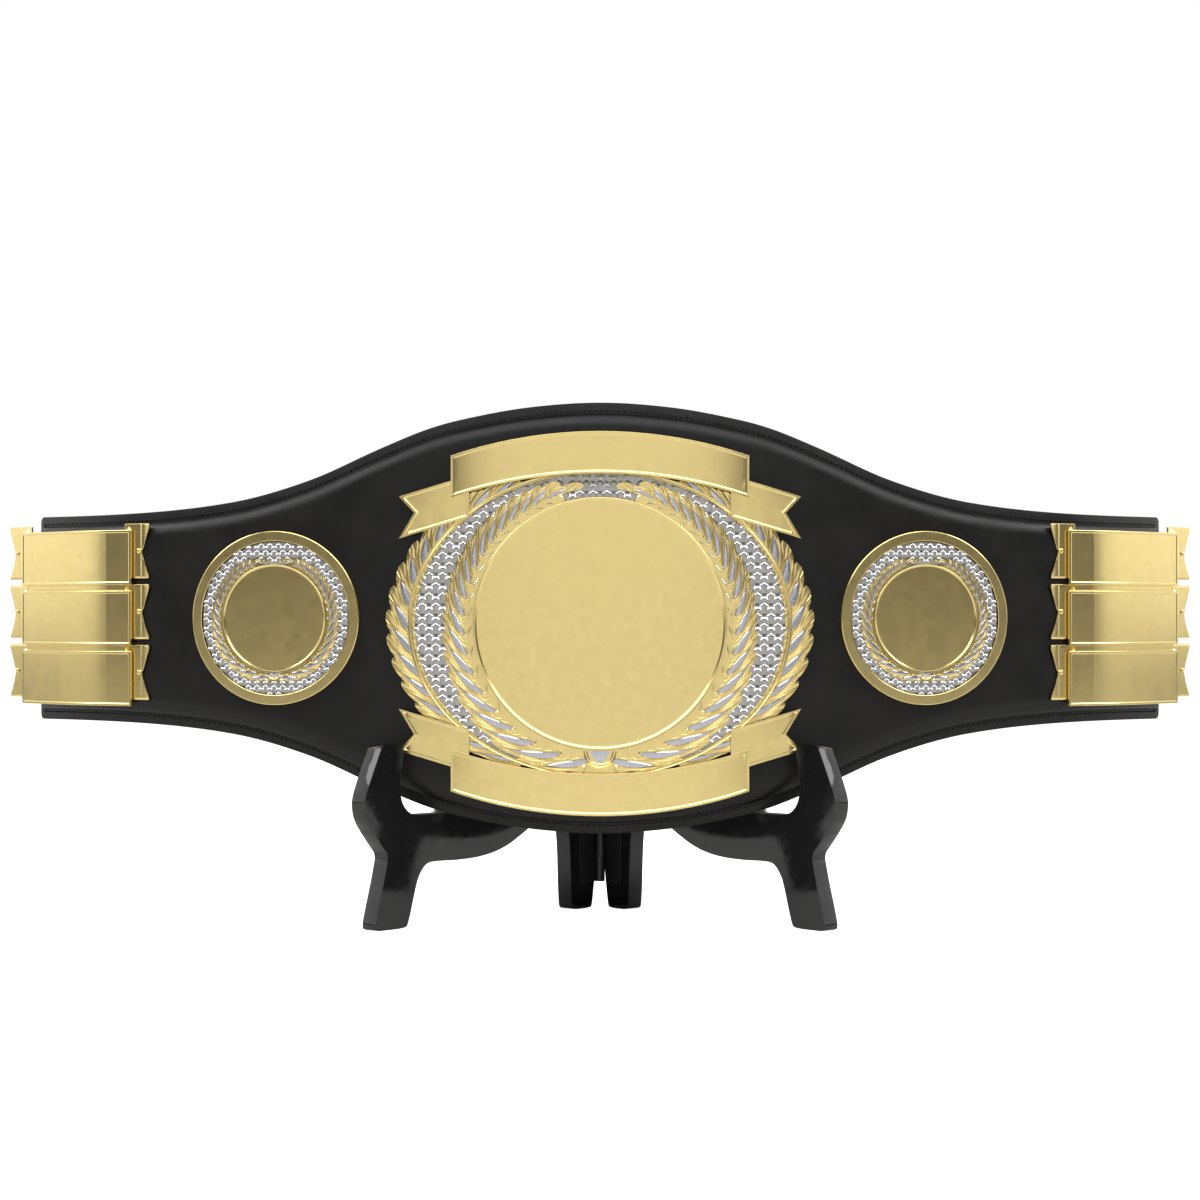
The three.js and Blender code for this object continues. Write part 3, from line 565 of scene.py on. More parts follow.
# A sheet as large as the oval with its laurels, less an inset
def ovalSheet(inset, base, thickness):
    look = centrePlate

    def place(u, v):
        angle = 2 * math.pi * u
        share = laurelShare(angle)
        halfWidth = look["ovalHalfWidth"] + share * (look["laurelReach"] - look["laurelTips"]) - inset
        halfHeight = look["ovalHalfHeight"] + share * look["laurelRise"] - inset
        return ovalPoint(halfWidth * v, halfHeight * v, angle, base + thickness)

    return closedSheet(180, 10, place, base, 1e-3)


def backPlate(look):
    bm = ovalSheet(look["edgeInset"], plateBase, look["plate"])
    bevelEdges(bm, 0.4)
    layOnBelt(bm, offset=atCentre)
    return finishPiece("mainBackPlate", bm, gold, ["main_back_plate"])


scaleShape = {
    "reachAcross": 150,
    "reachUp": 130,
    "width": 9.3,
    "height": 13.9,
    "shieldHalf": 2.75,
    "shieldArch": 1.7,
    "shieldFall": 5.8,
    "shieldRise": 0.95,
    "archHalf": 2.8,
    "archWidth": 0.72,
    "archHigh": 1.15,
    "arch": [(0, 0), (0.3, -0.6), (0.6, -1.2), (0.8, -1.5), (1, -1.6)],
    "crownHalf": 2.5,
    "crownUp": 3.9,
    "crownHigh": 1.5,
    "crownTop": [(0, 0.55), (0.3, 0.4), (0.55, 0.45), (0.8, 0.9), (0.9, 0.5), (1, -0.9)],
    "crownFoot": [(0, -0.4), (0.3, -0.55), (0.55, -0.85), (0.8, -1.3), (0.9, -1.5), (1, -1.7)],
    "lean": 0.43,
    "shadeDrop": 0.75,
    "shadeRise": 0.12,
    "pocket": [(0, 0.2), (0.25, 1.0), (0.5, 1.35), (0.75, 1.1), (1, 0.2)],
    "pocketPlace": -6.6,
    "pocketHeight": 2.3,
    "domeFall": 1.6,
    "domeRise": 0.8,
    "domeDrop": 1.3,
    "domeArch": 0.9,
}
scaleMaterials = {"Arches": silver, "Shields": greySilver, "Pockets": paintedShade}


# Staggered columns of cast scales: a grey shield under a bright pointed arch, then a bright crown
# over a grey dome. The bright arches, the grey bodies and the dark pockets, which are painted shade under
# the relief, are a piece each.
def addScales(name, look, size, base, wanted, offset, side=1):
    shapes = {ending: bmesh.new() for ending in scaleMaterials}
    width, height = look["width"] * size, look["height"] * size
    across = math.ceil(look["reachAcross"] / width)
    up = math.ceil(look["reachUp"] / height) + 1
    for column in range(-2 * across, 2 * across + 1):
        for row in range(-up, up + 1):
            x = column * width / 2
            y = (row + (0.5 if column % 2 else 0)) * height
            if wanted(x, y):
                addShield(shapes, look, x, y, size, base)
            if wanted(x, y + look["crownUp"] * size):
                addCrown(shapes, look, x, y + look["crownUp"] * size, size, base)
    for ending, shape in shapes.items():
        closeBehind(shape, level=base - 0.2)
        layOnBelt(shape, offset=offset, side=side)
        finishPiece(name + ending, shape, scaleMaterials[ending], (), 40)


def addShield(shapes, look, x, y, size, base):
    def bodyPlace(u, v):
        side = 2 * u - 1
        half = look["shieldHalf"] * size * (1 - 0.9 * v ** 3)
        top = y - size * (1.6 * look["shadeDrop"] + look["shieldArch"] * abs(side) ** 1.4)
        fall = look["shieldFall"] * size * v
        rise = look["shieldRise"] * size * (1 - 0.7 * side ** 4) * (1 - 0.35 * v)
        return Vector((x + half * side, top - fall * (1 - 0.25 * abs(side)), base + rise))

    gridSheet(shapes["Shields"], 6, 5, bodyPlace)

    # A flat dark sheet in the hollow under the shield: painted shade
    def pocketPlace(u, v):
        half = look["pocket"][round(4 * v)][1]
        above = look["pocketPlace"] - look["pocketHeight"] * v
        return Vector((x + size * half * (2 * u - 1), y + size * above, base + look["shadeRise"] * size))

    gridSheet(shapes["Pockets"], 1, 4, pocketPlace)

    # The arch leans back, so that its whole face catches the light from above
    def archPlace(u, v):
        last = len(look["arch"]) - 1
        column = round(u * 2 * last) - last
        across, drop = look["arch"][abs(column)]
        side = math.copysign(across, column)
        above = look["archWidth"] * (v - 0.4)
        rise = look["archHigh"] - look["lean"] * look["archWidth"] * v
        return Vector((x + size * look["archHalf"] * side, y + size * (drop + above), base + size * rise))

    addArch(shapes, look, 2 * len(look["arch"]) - 2, archPlace, size, base)


# A bright arch, and a flat dark sheet in the channel below it: painted shade
def addArch(shapes, look, steps, place, size, base):
    def shadePlace(u, v):
        point = place(u, 0.2 + 0.8 * v)
        point.y -= look["shadeDrop"] * size
        point.z = base + look["shadeRise"] * size
        return point

    gridSheet(shapes["Arches"], steps, 1, place)
    gridSheet(shapes["Pockets"], steps, 1, shadePlace)


# A crown: a bright double arch, leaning back, with a small grey dome hanging under it
def addCrown(shapes, look, x, y, size, base):
    def place(u, v):
        last = len(look["crownTop"]) - 1
        column = round(u * 2 * last) - last
        across, top = look["crownTop"][abs(column)]
        foot = look["crownFoot"][abs(column)][1]
        side = math.copysign(across, column)
        above = foot + (top - foot) * v
        rise = look["crownHigh"] - look["lean"] * (above - foot)
        return Vector((x + size * look["crownHalf"] * side, y + size * above, base + size * rise))

    addArch(shapes, look, 2 * len(look["crownTop"]) - 2, place, size, base)

    def domePlace(u, v):
        side = 2 * u - 1
        half = look["crownHalf"] * size * (0.8 - 0.6 * v ** 2)
        rise = look["domeRise"] * size * (1 - 0.7 * side ** 4) * (1 - 0.4 * v)
        top = y - look["domeDrop"] * size - look["domeArch"] * size * abs(side) ** 1.5
        return Vector((x + half * side, top - look["domeFall"] * size * v, base + rise))

    gridSheet(shapes["Shields"], 4, 3, domePlace)


def insideOval(x, y, halfWidth, halfHeight):
    return (x / halfWidth) ** 2 + (y / halfHeight) ** 2 < 1


def mainScaleField(look):
    bm = ovalSheet(2 * look["edgeInset"], fieldBase, look["field"])
    layOnBelt(bm, offset=atCentre)
    finishPiece("mainScaleField", bm, greySilver, ["main_scale_field"], 30)

    def wanted(x, y):
        up = y - look["scaleShift"]
        edges = [edge for height, edge in look["wreathEdges"] if y > height]
        wreathEdge = (edges + [look["discRadius"] + look["wreathWidth"] - 1])[0]
        inGap = y > 0 and abs(x) < look["scaleGap"] and math.hypot(x, y) > look["discRadius"] + 2
        inOval = insideOval(x, up, look["ovalHalfWidth"] - 0.5, look["ovalHalfHeight"] - 0.5)
        return inOval and (math.hypot(x, up) > wreathEdge or inGap)

    addScales("mainScale", scaleShape, 1.0, fieldBase + look["field"], wanted, atCentre)


# The value of a table at a place between two of its rows, and on in a line past its ends
def tableAt(values, place):
    low = min(len(values) - 2, max(0, math.floor(place)))
    return values[low] + (values[low + 1] - values[low]) * (place - low)


def wreathPoint(radius, degrees, height=0.0):
    angle = math.radians(degrees)
    return Vector((radius * math.sin(angle), -radius * math.cos(angle), height))


# Half the width of a silver leaf, as a share of the leaves' pitch: slim tails and a full middle
def leafHalf(share, fullness):
    if share <= 0 or share >= 1:
        return 0.0
    return fullness * math.sin(math.pi * share ** 0.88) ** 1.15


# Heights across one gold leaf, from the edge of its silver to its own edge
leafRidges = [
    (0, 0.4), (0.07, 0.92), (0.3, 1), (0.38, 0.84), (0.5, 0.84), (0.58, 0.97), (0.9, 1), (1, 0.82),
]


# One gold leaf as a closed lump: a channel for its silver, with fine ridges along both sides
def addGoldLeaf(bm, look, index, place, level):
    rows = leafRows(look)
    half = len(leafRidges)
    columns = 2 * half

    def ridgePlace(u, v):
        reach = rows[round(u * (len(rows) - 1))]
        column = round(v * (columns - 1))
        side = -1 if column < half else 1
        across, height = leafRidges[half - 1 - column if column < half else column - half]
        edge = leafHalf(reach["leaf"], look["fullness"]) * 1.04 + 0.012
        phase = side * (edge + (0.5 - edge) * across)
        step = 0.06 if side > 0 else -0.14
        rise = 0.85 + (height + step * across ** 4 - 0.85) * reach["ridges"]
        point = place(index, phase, reach["out"])
        point.z = level + look["relief"] * max(0.1, rise * reach["rise"])
        return point

    addFrom(bm, closedSheet(len(rows) - 1, columns - 1, ridgePlace, level - 0.6))


# Across one silver leaf: its side and its height, with a wide upper and a steep lower edge
silverSteps = [(-1, 0), (-0.82, 0.9), (-0.5, 1), (0.35, 1), (0.6, 0.92), (1, 0)]


# The silver laid in the channel of a gold leaf, flat on top
def addSilverLeaf(bm, look, index, place, level):
    inLeaf = [row for row in leafRows(look) if 0 <= row["leaf"] <= 1]

    def silverPlace(u, v):
        reach = inLeaf[round(u * (len(inLeaf) - 1))]
        side, height = silverSteps[round(v * (len(silverSteps) - 1))]
        point = place(index, side * leafHalf(reach["leaf"], look["fullness"]), reach["out"])
        full = min(1.0, 5 * reach["leaf"] * (1 - reach["leaf"]) + 0.15)
        point.z = level + look["silverRelief"] * (0.2 + 0.8 * height * full)
        return point

    addFrom(bm, closedSheet(len(inLeaf) - 1, len(silverSteps) - 1, silverPlace, level - 0.4, 1e-4))


roundWreath = {
    "inner": 86.3,
    "stem": 91.2,
    "leaves": 20,
    "skip": 1.0,
    "root": [
        5.1, 17.2, 28.9, 39.6, 49.6, 59.1, 68.4, 77, 85.5, 93.4, 100.6, 107.3, 113.7, 120.1, 126.4, 132.6,
        138.8, 144.9, 150.6, 155.5,
    ],
    "tip": [
        23.1, 37.6, 48.3, 58.1, 67.2, 75.4, 82.8, 90.2, 98.2, 105.4, 112.4, 118.9, 125.1, 131.4, 137.3,
        142.9, 148.2, 153.2, 158.4, 167.5,
    ],
    "tipReach": 86.3,
    "tipRadius": [
        105.1, 106.3, 106.6, 106.2, 105.8, 105.2, 104.6, 104.2, 103.9, 103.8, 103.7, 103.4, 103.0, 102.6,
        102.2, 101.8, 101.2, 100.4, 99.2, 94.6,
    ],
    "past": 3.0,
    "lobe": 2.6,
    "lobePlace": 0.1,
    "innerLean": 6.0,
    "bow": 1.3,
    "fullness": 0.335,
    "base": overlayBase,
    "body": 0.75,
    "relief": 0.75,
    "silverRelief": 0.95,
    "bandEnd": 164,
    "bandWidth": 16,
    "sprigRoot": 90.4,
    "sprigTip": 87.0,
    "sprigBack": 1.4,
    "sprigHalf": 0.62,
    "knot": 8.3,
    "scale": 1.0,
    "sprigsFrom": 40,
    "rows": [
        -1, -0.7, -0.35, -0.06, 0, 0.05, 0.11, 0.18, 0.26, 0.35, 0.45, 0.55, 0.65, 0.74, 0.82, 0.89, 0.95,
        1, 1.5, 2,
    ],
}


# Where a point of a wreath's leaf lies: its row runs from -1 at the disc, by 0 at the stem and
# 1 at the tip of the silver, to 2 at the leaf's own lobed end
def wreathLeafPlace(look):
    def place(index, phase, row):
        at = (index + phase) * look["skip"]
        root, tip = tableAt(look["root"], at), tableAt(look["tip"], at)
        tipRadius = look["inner"] + (tableAt(look["tipRadius"], at) - look["tipReach"]) * look["scale"]
        pace = min(1.3 / look["scale"], (tip - root) / (tipRadius - look["stem"]))
        if row < 0:
            radius = look["stem"] + (look["stem"] - look["inner"]) * row
            return wreathPoint(radius, root - look["innerLean"] * row)
        if row <= 1:
            radius = look["stem"] + (tipRadius - look["stem"]) * row
            bow = look["bow"] * (tip - root) / 12 * math.sin(math.pi * row)
            return wreathPoint(radius, root + (tip - root) * row - bow)
        lobe = look["lobe"] * abs(2 * (phase - look["lobePlace"])) ** 2
        past = max(0.35, look["past"] - lobe) * (row - 1)
        return wreathPoint(tipRadius + past, tip + pace * past * 0.75)

    return place


def leafRows(look):
    rows = []
    for value in look["rows"]:
        ridges = min(1.0, max(0.0, (value + 0.1) / 0.2))
        rise = 1.0 - 0.25 * max(0.0, value - 1) ** 2
        rows.append({"out": value, "leaf": (value - 0.02) / 0.96, "rise": rise, "ridges": ridges})
    return rows


# The gold of a round wreath: a band under it, a collar at its foot and the leaves up both sides
def wreathGold(name, look, nodes, offset, side):
    level = look["base"] + look["body"]

    def place(u, v):
        degrees = (2 * u - 1) * look["bandEnd"]
        taper = min(1.0, (look["bandEnd"] - abs(degrees)) / 12 + 0.3)
        return wreathPoint(look["inner"] + look["bandWidth"] * look["scale"] * taper * v, degrees, level)

    body = closedSheet(150, 3, place, look["base"])
    leaves = bmesh.new()
    for index in range(look["leaves"]):
        addGoldLeaf(leaves, look, index, wreathLeafPlace(look), level)
    addFrom(body, mirroredCopy(leaves))
    addFrom(body, leaves)
    addFrom(body, knotRing(look, level))
    layOnBelt(body, offset=offset, side=side)
    return finishPiece(name, body, gold, nodes, 24)


# A point about the middle of the half disc at the foot of a wreath
def knotPoint(look, radius, angle, height):
    return Vector((radius * math.cos(angle), radius * math.sin(angle) - look["inner"] - 0.4, height))


# The gold collar round that half disc, with a small bud on both sides
def knotRing(look, level):
    heights = [0.9, 1.35, 0.8, 1.25, 0.3]

    def place(u, v):
        radius = look["knot"] * (1.03 + 0.4 * v)
        return knotPoint(look, radius, math.pi * (1 + u), level + look["relief"] * heights[round(v * 4)])

    def budPlace(u, v):
        spread = (2 * v - 1) * (1 - u) * 0.62
        radius = look["knot"] * (1.5 + 0.75 * (1 - u))
        angle = math.pi * 1.27 + spread * 0.42 - 0.16 * (1 - u)
        return knotPoint(look, radius, angle, level + look["relief"] * (0.5 + 0.8 * (1 - abs(2 * v - 1))))

    bm = closedSheet(24, 4, place, level - 0.5)
    bud = closedSheet(4, 2, budPlace, level - 0.5, 1e-4)
    addFrom(bm, mirroredCopy(bud))
    addFrom(bm, bud)
    return bm


# The silver of a round wreath: leaves, the slim inner sprigs and the half disc at its foot
def wreathSilver(name, look, offset, side):
    bm = bmesh.new()
    level = look["base"] + look["body"]
    heights = [0.35, 0.9, 1, 1]
    for index in range(look["leaves"]):
        addSilverLeaf(bm, look, index, wreathLeafPlace(look), level)
        root = tableAt(look["root"], index * look["skip"]) - look["sprigBack"]
        if root > look["sprigsFrom"]:
            addSprig(bm, look, root, level)

    def place(u, v):
        height = level + look["silverRelief"] * heights[round(v * 3)]
        return knotPoint(look, look["knot"] * (1 - v), math.pi * (1 + u), height)

    both = mirroredCopy(bm)
    addFrom(both, bm)
    addFrom(both, closedSheet(24, 3, place, level - 0.4, 1e-4))
    layOnBelt(both, offset=offset, side=side)
    return finishPiece(name, both, silver, (), 32)


# One slim sprig, which grows towards the disc: fuller on the upper part of the wreath
def addSprig(bm, look, root, level):
    full = min(1.0, 0.45 + max(0.0, root - 70) / 50)
    start = wreathPoint(look["sprigRoot"], root)
    end = wreathPoint(look["sprigTip"], root + look["innerLean"] * (0.6 + 0.4 * full))
    axis = end - start
    across = Vector((-axis.y, axis.x, 0)).normalized()

    def place(u, v):
        side = 2 * v - 1
        half = look["sprigHalf"] * full * math.sin(math.pi * u) if 0 < u < 1 else 0.0
        point = start + axis * u + across * half * side
        point.z = level + look["relief"] * (0.75 + 0.65 * (1 - side ** 2))
        return point

    addFrom(bm, closedSheet(6, 2, place, level - 0.4, 1e-4))


outerLaurel = {
    "leaves": 15,
    "lean": 1.3,
    "rootShare": -0.3,
    "tipShare": 0.74,
    "past": 0.27,
    "lobe": 0.2,
    "lobePlace": 0.12,
    "bow": 0.16,
    "fullness": 0.3,
    "body": 0.75,
    "relief": 0.75,
    "silverRelief": 1.0,
    "rows": [0, 0.05, 0.11, 0.18, 0.26, 0.35, 0.45, 0.55, 0.65, 0.74, 0.82, 0.89, 0.95, 1, 1.5, 2],
    "lineRows": [(0, 0.1), (0.12, 1), (0.3, 1), (0.42, 0.8), (0.58, 0.8), (0.7, 1), (0.88, 1), (1, 0.1)],
}


def laurelPoint(share, angle, height=0.0):
    plate = centrePlate
    reach, rise = share * plate["laurelReach"], share * plate["laurelRise"]
    return ovalPoint(plate["ovalHalfWidth"] + reach, plate["ovalHalfHeight"] + rise, angle, height)


def laurelLeafPlace(look):
    span = centrePlate["laurelSpan"]
    pitch = 2 * span / (look["leaves"] + 0.3)

    def place(index, phase, row):
        angle = -span + pitch * (index + phase + 0.3)
        if row <= 1:
            share = look["rootShare"] + (look["tipShare"] - look["rootShare"]) * row
            turn = angle + pitch * (look["lean"] * row - look["bow"] * math.sin(math.pi * row))
            return laurelPoint(share, turn)
        lobe = look["lobe"] * abs(2 * (phase - look["lobePlace"])) ** 2
        past = max(0.03, look["past"] - lobe) * (row - 1)
        return laurelPoint(look["tipShare"] + past, angle + pitch * (look["lean"] + 0.9 * past))

    return place


# Both laurels outside the oval, with the double frame line that their leaves lean on
def outerLaurelPieces(look):
    plate = centrePlate
    level = overlayBase + look["body"]
    silverSheets, leaves = bmesh.new(), bmesh.new()
    for index in range(look["leaves"]):
        addGoldLeaf(leaves, look, index, laurelLeafPlace(look), level)
        addSilverLeaf(silverSheets, look, index, laurelLeafPlace(look), level)

    def basePlace(u, v):
        return laurelPoint(-0.15 + 0.9 * v, plate["laurelSpan"] * (2 * u - 1), level)

    def linePlace(u, v):
        along, height = look["lineRows"][round(v * (len(look["lineRows"]) - 1))]
        inset = plate["ovalLine"] * (1 - along) - 0.4
        halfWidth, halfHeight = plate["ovalHalfWidth"] - inset, plate["ovalHalfHeight"] - inset
        return ovalPoint(halfWidth, halfHeight, math.pi * (u - 0.5), overlayBase + 1.1 + 1.2 * height)

    base = closedSheet(60, 3, basePlace, overlayBase)
    addFrom(base, leaves)
    addFrom(base, closedSheet(120, len(look["lineRows"]) - 1, linePlace, overlayBase))
    for name, side in (("Right", 1), ("Left", -1)):
        goldSide, silverSide = base.copy(), silverSheets.copy()
        layOnBelt(goldSide, offset=atCentre, side=side)
        layOnBelt(silverSide, offset=atCentre, side=side)
        finishPiece("mainOuterLaurel" + name, goldSide, gold, ["main_outer_wreath_" + name.lower()], 24)
        finishPiece("mainOuterLeaves" + name, silverSide, silver, (), 32)
    base.free()
    silverSheets.free()


# A plain disc: the sunk field, the wall of its rim, the rim and a thin step outside it
def rimmedDisc(name, look, base, thickness, nodes, offset, side):
    radius, rim = look["radius"], look["rim"]
    front = base + thickness
    top = front + look["relief"]
    rows = [(0, base), (radius, base), (radius, top - 0.35), (radius - 0.15, top - 0.1)]
    rows += [(radius - 0.45, top), (radius - 0.45 * rim, top), (radius - rim, front)]
    bm = turnRound(rows + fieldRings(radius - rim, front, 10), look["steps"])
    layOnBelt(bm, offset=offset, side=side)
    return finishPiece(name, bm, gold, nodes, 50, 1.2)


backPlate(centrePlate)
mainScaleField(centrePlate)
outerLaurelPieces(outerLaurel)
wreathGold("mainRoundWreath", roundWreath, ["main_round_wreath"], atCentre, 1)
wreathSilver("mainRoundLeaves", roundWreath, atCentre, 1)
rimmedDisc("mainDisc", centrePlate["disc"], overlayBase, centrePlate["overlay"], ["main_disc"], atCentre, 1)
print("centre plate ready")


ribbonShape = {
    "halfWidth": 100.7,
    "height": 28.6,
    "middle": 116.2,
    "arcRadius": 316,
    "thickness": 1.6,
    "crown": 1.7,
    "lift": 1,
    "rim": 1.4,
    "wall": 1.0,
    "sunk": 0.45,
    "tailSunk": 0.7,
    "bevel": 0.3,
    "tailLength": 47.8,
    "tailTuck": 12.2,
    "tailDrop": 13.1,
    "tailSlope": 0.3,
    "tailNotch": 10.4,
    "steps": 72,
}


# A folded ribbon: the bowed band over two swallow tails, with the folds between them
def ribbon(name, look, upDown, nodes):
    half = look["height"] / 2
    bandBase = tailBase + look["thickness"] + look["lift"]

    def middleAt(x):
        return look["middle"] - (look["arcRadius"] - math.sqrt(look["arcRadius"] ** 2 - x ** 2))

    def bandHeight(share):
        return bandBase + look["thickness"] + look["crown"] * (1 - abs(share) ** 3.2)

    def bandPlace(u, v):
        x = (2 * u - 1) * look["halfWidth"]
        return Vector((x, middleAt(x) + half * (2 * v - 1), bandHeight(2 * u - 1)))

    band = bmesh.new()
    gridSheet(band, look["steps"], 4, bandPlace)
    sinkInside(band, look)
    closeBehind(band, thickness=look["thickness"])
    bevelEdges(band, look["bevel"], 70)
    foldX = look["halfWidth"] - look["tailTuck"]
    tailMiddle = middleAt(look["halfWidth"]) - look["tailDrop"]
    tipX = foldX + look["tailLength"]

    def tailPlace(u, v):
        edge = tipX - look["tailNotch"] * (1 - abs(2 * v - 1))
        x = foldX + (edge - foldX) * u
        y = tailMiddle + half * (2 * v - 1) - look["tailSlope"] * (x - foldX)
        return Vector((x, y, tailBase + look["thickness"] + 0.5 * u ** 2))

    tail = bmesh.new()
    gridSheet(tail, 14, 8, tailPlace)
    sinkInside(tail, look, look["tailSunk"])
    closeBehind(tail, thickness=look["thickness"])
    bevelEdges(tail, look["bevel"], 70)
    bandEnd = middleAt(look["halfWidth"])

    def foldPlace(u, v):
        x = foldX + look["tailTuck"] * u
        y = tailMiddle + (bandEnd - tailMiddle) * u + half * (2 * v - 1)
        rise = tailBase + look["thickness"] + (bandBase - tailBase) * u
        return Vector((x - 0.35 * u, y, rise - 0.05))

    fold = bmesh.new()
    gridSheet(fold, 6, 4, foldPlace)
    closeBehind(fold, thickness=look["thickness"] - 0.15)
    addFrom(tail, fold)
    addFrom(band, mirroredCopy(tail))
    addFrom(band, tail)
    if upDown < 0:
        bmesh.ops.scale(band, vec=(1, -1, 1), verts=band.verts)
        bmesh.ops.reverse_faces(band, faces=band.faces)
    layOnBelt(band, offset=atCentre)
    return finishPiece(name, band, gold, nodes, 40, 1.2)


ribbon("topRibbon", ribbonShape, 1, ["top_ribbon"])
ribbon("bottomRibbon", ribbonShape, -1, ["bottom_ribbon"])
print("ribbons ready")


medallion = {
    "place": 224.8,
    "radius": 60,
    "plate": 2,
    "rim": 7.4,
    "rimHeight": 2.4,
    "field": 1,
    "fieldGap": 0.3,
    "disc": {"radius": 36.9, "rim": 1.5, "relief": 0.7, "steps": 160},
    "discThickness": 1.2,
    "wreathWidth": 7,
    "scaleSize": 0.668,
    "scaleGap": 12,
    "scaleShift": 0.9,
    "steps": 160,
}
medallionField = plateBase + medallion["plate"] + belt["gap"]
medallionOverlay = medallionField + medallion["field"] + belt["gap"]
smallWreath = dict(
    roundWreath,
    inner=37.2,
    stem=39.2,
    leaves=17,
    skip=19 / 16,
    scale=0.41,
    past=1.2,
    lobe=1.0,
    base=medallionOverlay,
    body=0.5,
    relief=0.5,
    silverRelief=0.7,
    fullness=0.41,
    sprigRoot=38.9,
    sprigTip=37.5,
    sprigHalf=0.4,
    knot=3.5,
)


def medallionPieces(look, sideName, side):
    offset = (look["place"], 0)
    lower = sideName.lower()
    front = plateBase + look["plate"]
    radius, inner = look["radius"], look["radius"] - look["rim"]
    top = front + look["rimHeight"]
    rows = [(0, plateBase), (radius, plateBase), (radius, top - 0.8), (radius - 0.2, top - 0.3)]
    rows += [(radius - 0.7, top), (inner + 0.9, top), (inner + 0.55, top - 0.15), (inner, front)]
    rim = turnRound(rows + fieldRings(inner, front, 6), look["steps"])
    layOnBelt(rim, offset=offset, side=side)
    finishPiece("medallionRim" + sideName, rim, gold, ["medallion_rim_" + lower], 50, 1.2)

    fieldTop = medallionField + look["field"]
    edge = inner - look["fieldGap"]
    rows = [(0, medallionField), (edge, medallionField), (edge, fieldTop)]
    field = turnRound(rows + fieldRings(edge, fieldTop, 6), look["steps"])
    layOnBelt(field, offset=offset, side=side)
    finishPiece("medallionField" + sideName, field, greySilver, ["medallion_scale_field_" + lower], 30)

    def wanted(x, y):
        reach = math.hypot(x, y - look["scaleShift"])
        inGap = y > 0 and abs(x) < look["scaleGap"] and reach > look["disc"]["radius"] + 1.5
        return reach < inner - 0.4 and (reach > smallWreath["inner"] + look["wreathWidth"] or inGap)

    addScales("medallionScale" + sideName, scaleShape, look["scaleSize"], fieldTop, wanted, offset, side)
    wreathGold("medallionWreath" + sideName, smallWreath, ["medallion_wreath_" + lower], offset, side)
    wreathSilver("medallionLeaves" + sideName, smallWreath, offset, side)
    rimmedDisc(
        "medallionDisc" + sideName, look["disc"], medallionOverlay, look["discThickness"],
        ["medallion_disc_" + lower], offset, side,
    )


medallionPieces(medallion, "Right", 1)
medallionPieces(medallion, "Left", -1)
print("medallions ready")


endPlate = {
    "bars": 3,
    "start": 333.3,
    "length": 114.5,
    "height": 38.3,
    "pitch": 42.5,
    "face": 2,
    "depth": 5.3,
    "taper": 5,
    "foldRise": 4.4,
    "rim": 1.4,
    "wall": 0.7,
    "sunk": 0.35,
    "linkInset": 5,
    "linkSetback": 1,
    "linkThickness": 2.4,
    "innerWing": 14.6,
    "outerWing": 22.2,
    "wing": 1.2,
    "wingTuck": 2,
    "wingNotch": 7,
    "wingCorner": 1.2,
    "wingCurl": 1.2,
    "wingCrease": 0.35,
    "pinPlace": 9.5,
    "pinRadius": 1,
    "pinHead": 2.0,
    "pinDome": 1.2,
    "facetLength": 20.55,
    "facetTurn": math.radians(5.5),
    "bendRadius": 230,
    "steps": 39,
}
linkShape = {"rim": 0.9, "wall": 0.25, "sunk": 0.3, "overlap": 0.5}


# How far the flat inner facet of a bar lies behind its rounded face
def facetDip(x, look):
    inward = max(0.0, look["start"] + look["facetLength"] - x)
    return inward ** 2 / (2 * look["bendRadius"]) - look["facetTurn"] * inward


# An open sheet along a bar, which follows the facet at its inner end
def barSheet(look, start, end, low, high, level):
    bm = bmesh.new()

    def place(u, v):
        x = start + (end - start) * u
        return Vector((x, low + (high - low) * v, level + facetDip(x, look)))

    gridSheet(bm, look["steps"], 1, place)
    return bm


# The foot of a bar, above the belt's middle
def barLow(look, index):
    return (index - (look["bars"] - 1) / 2) * look["pitch"] - look["height"] / 2


# The end of the bars in one direction along the belt, and how far the wings reach past it
def barEnd(look, direction):
    if direction > 0:
        return look["start"] + look["length"], look["outerWing"]
    return look["start"], look["innerWing"]


# A notched wing behind one end of a bar, curled a little towards its tip
def addWing(bm, look, low, direction):
    high = low + look["height"]
    end, reach = barEnd(look, direction)
    tuck = look["taper"] + look["wingTuck"]

    def place(u, v):
        share = 2 * v - 1
        notch = look["wingNotch"] * (1 - abs(share) ** (0.95 if share > 0 else 1.5))
        corner = look["wingCorner"] * max(0.0, (abs(share) - 0.94) / 0.06) ** 2
        far = reach - notch - corner
        beyond = -tuck + (far + tuck) * u
        curl = look["wingCurl"] * (max(0.0, beyond - 0.45 * reach) / (0.55 * reach)) ** 1.5
        crease = look["wingCrease"] * math.exp(-((beyond - 0.52 * reach) / 0.7) ** 2)
        x = end + direction * beyond
        return Vector((x, low + (high - low) * v, plateBase + look["wing"] + curl + crease))

    wing = bmesh.new()
    gridSheet(wing, 44, 22, place)
    closeBehind(wing, thickness=look["wing"])
    bevelEdges(wing, 0.22)
    addFrom(bm, wing)


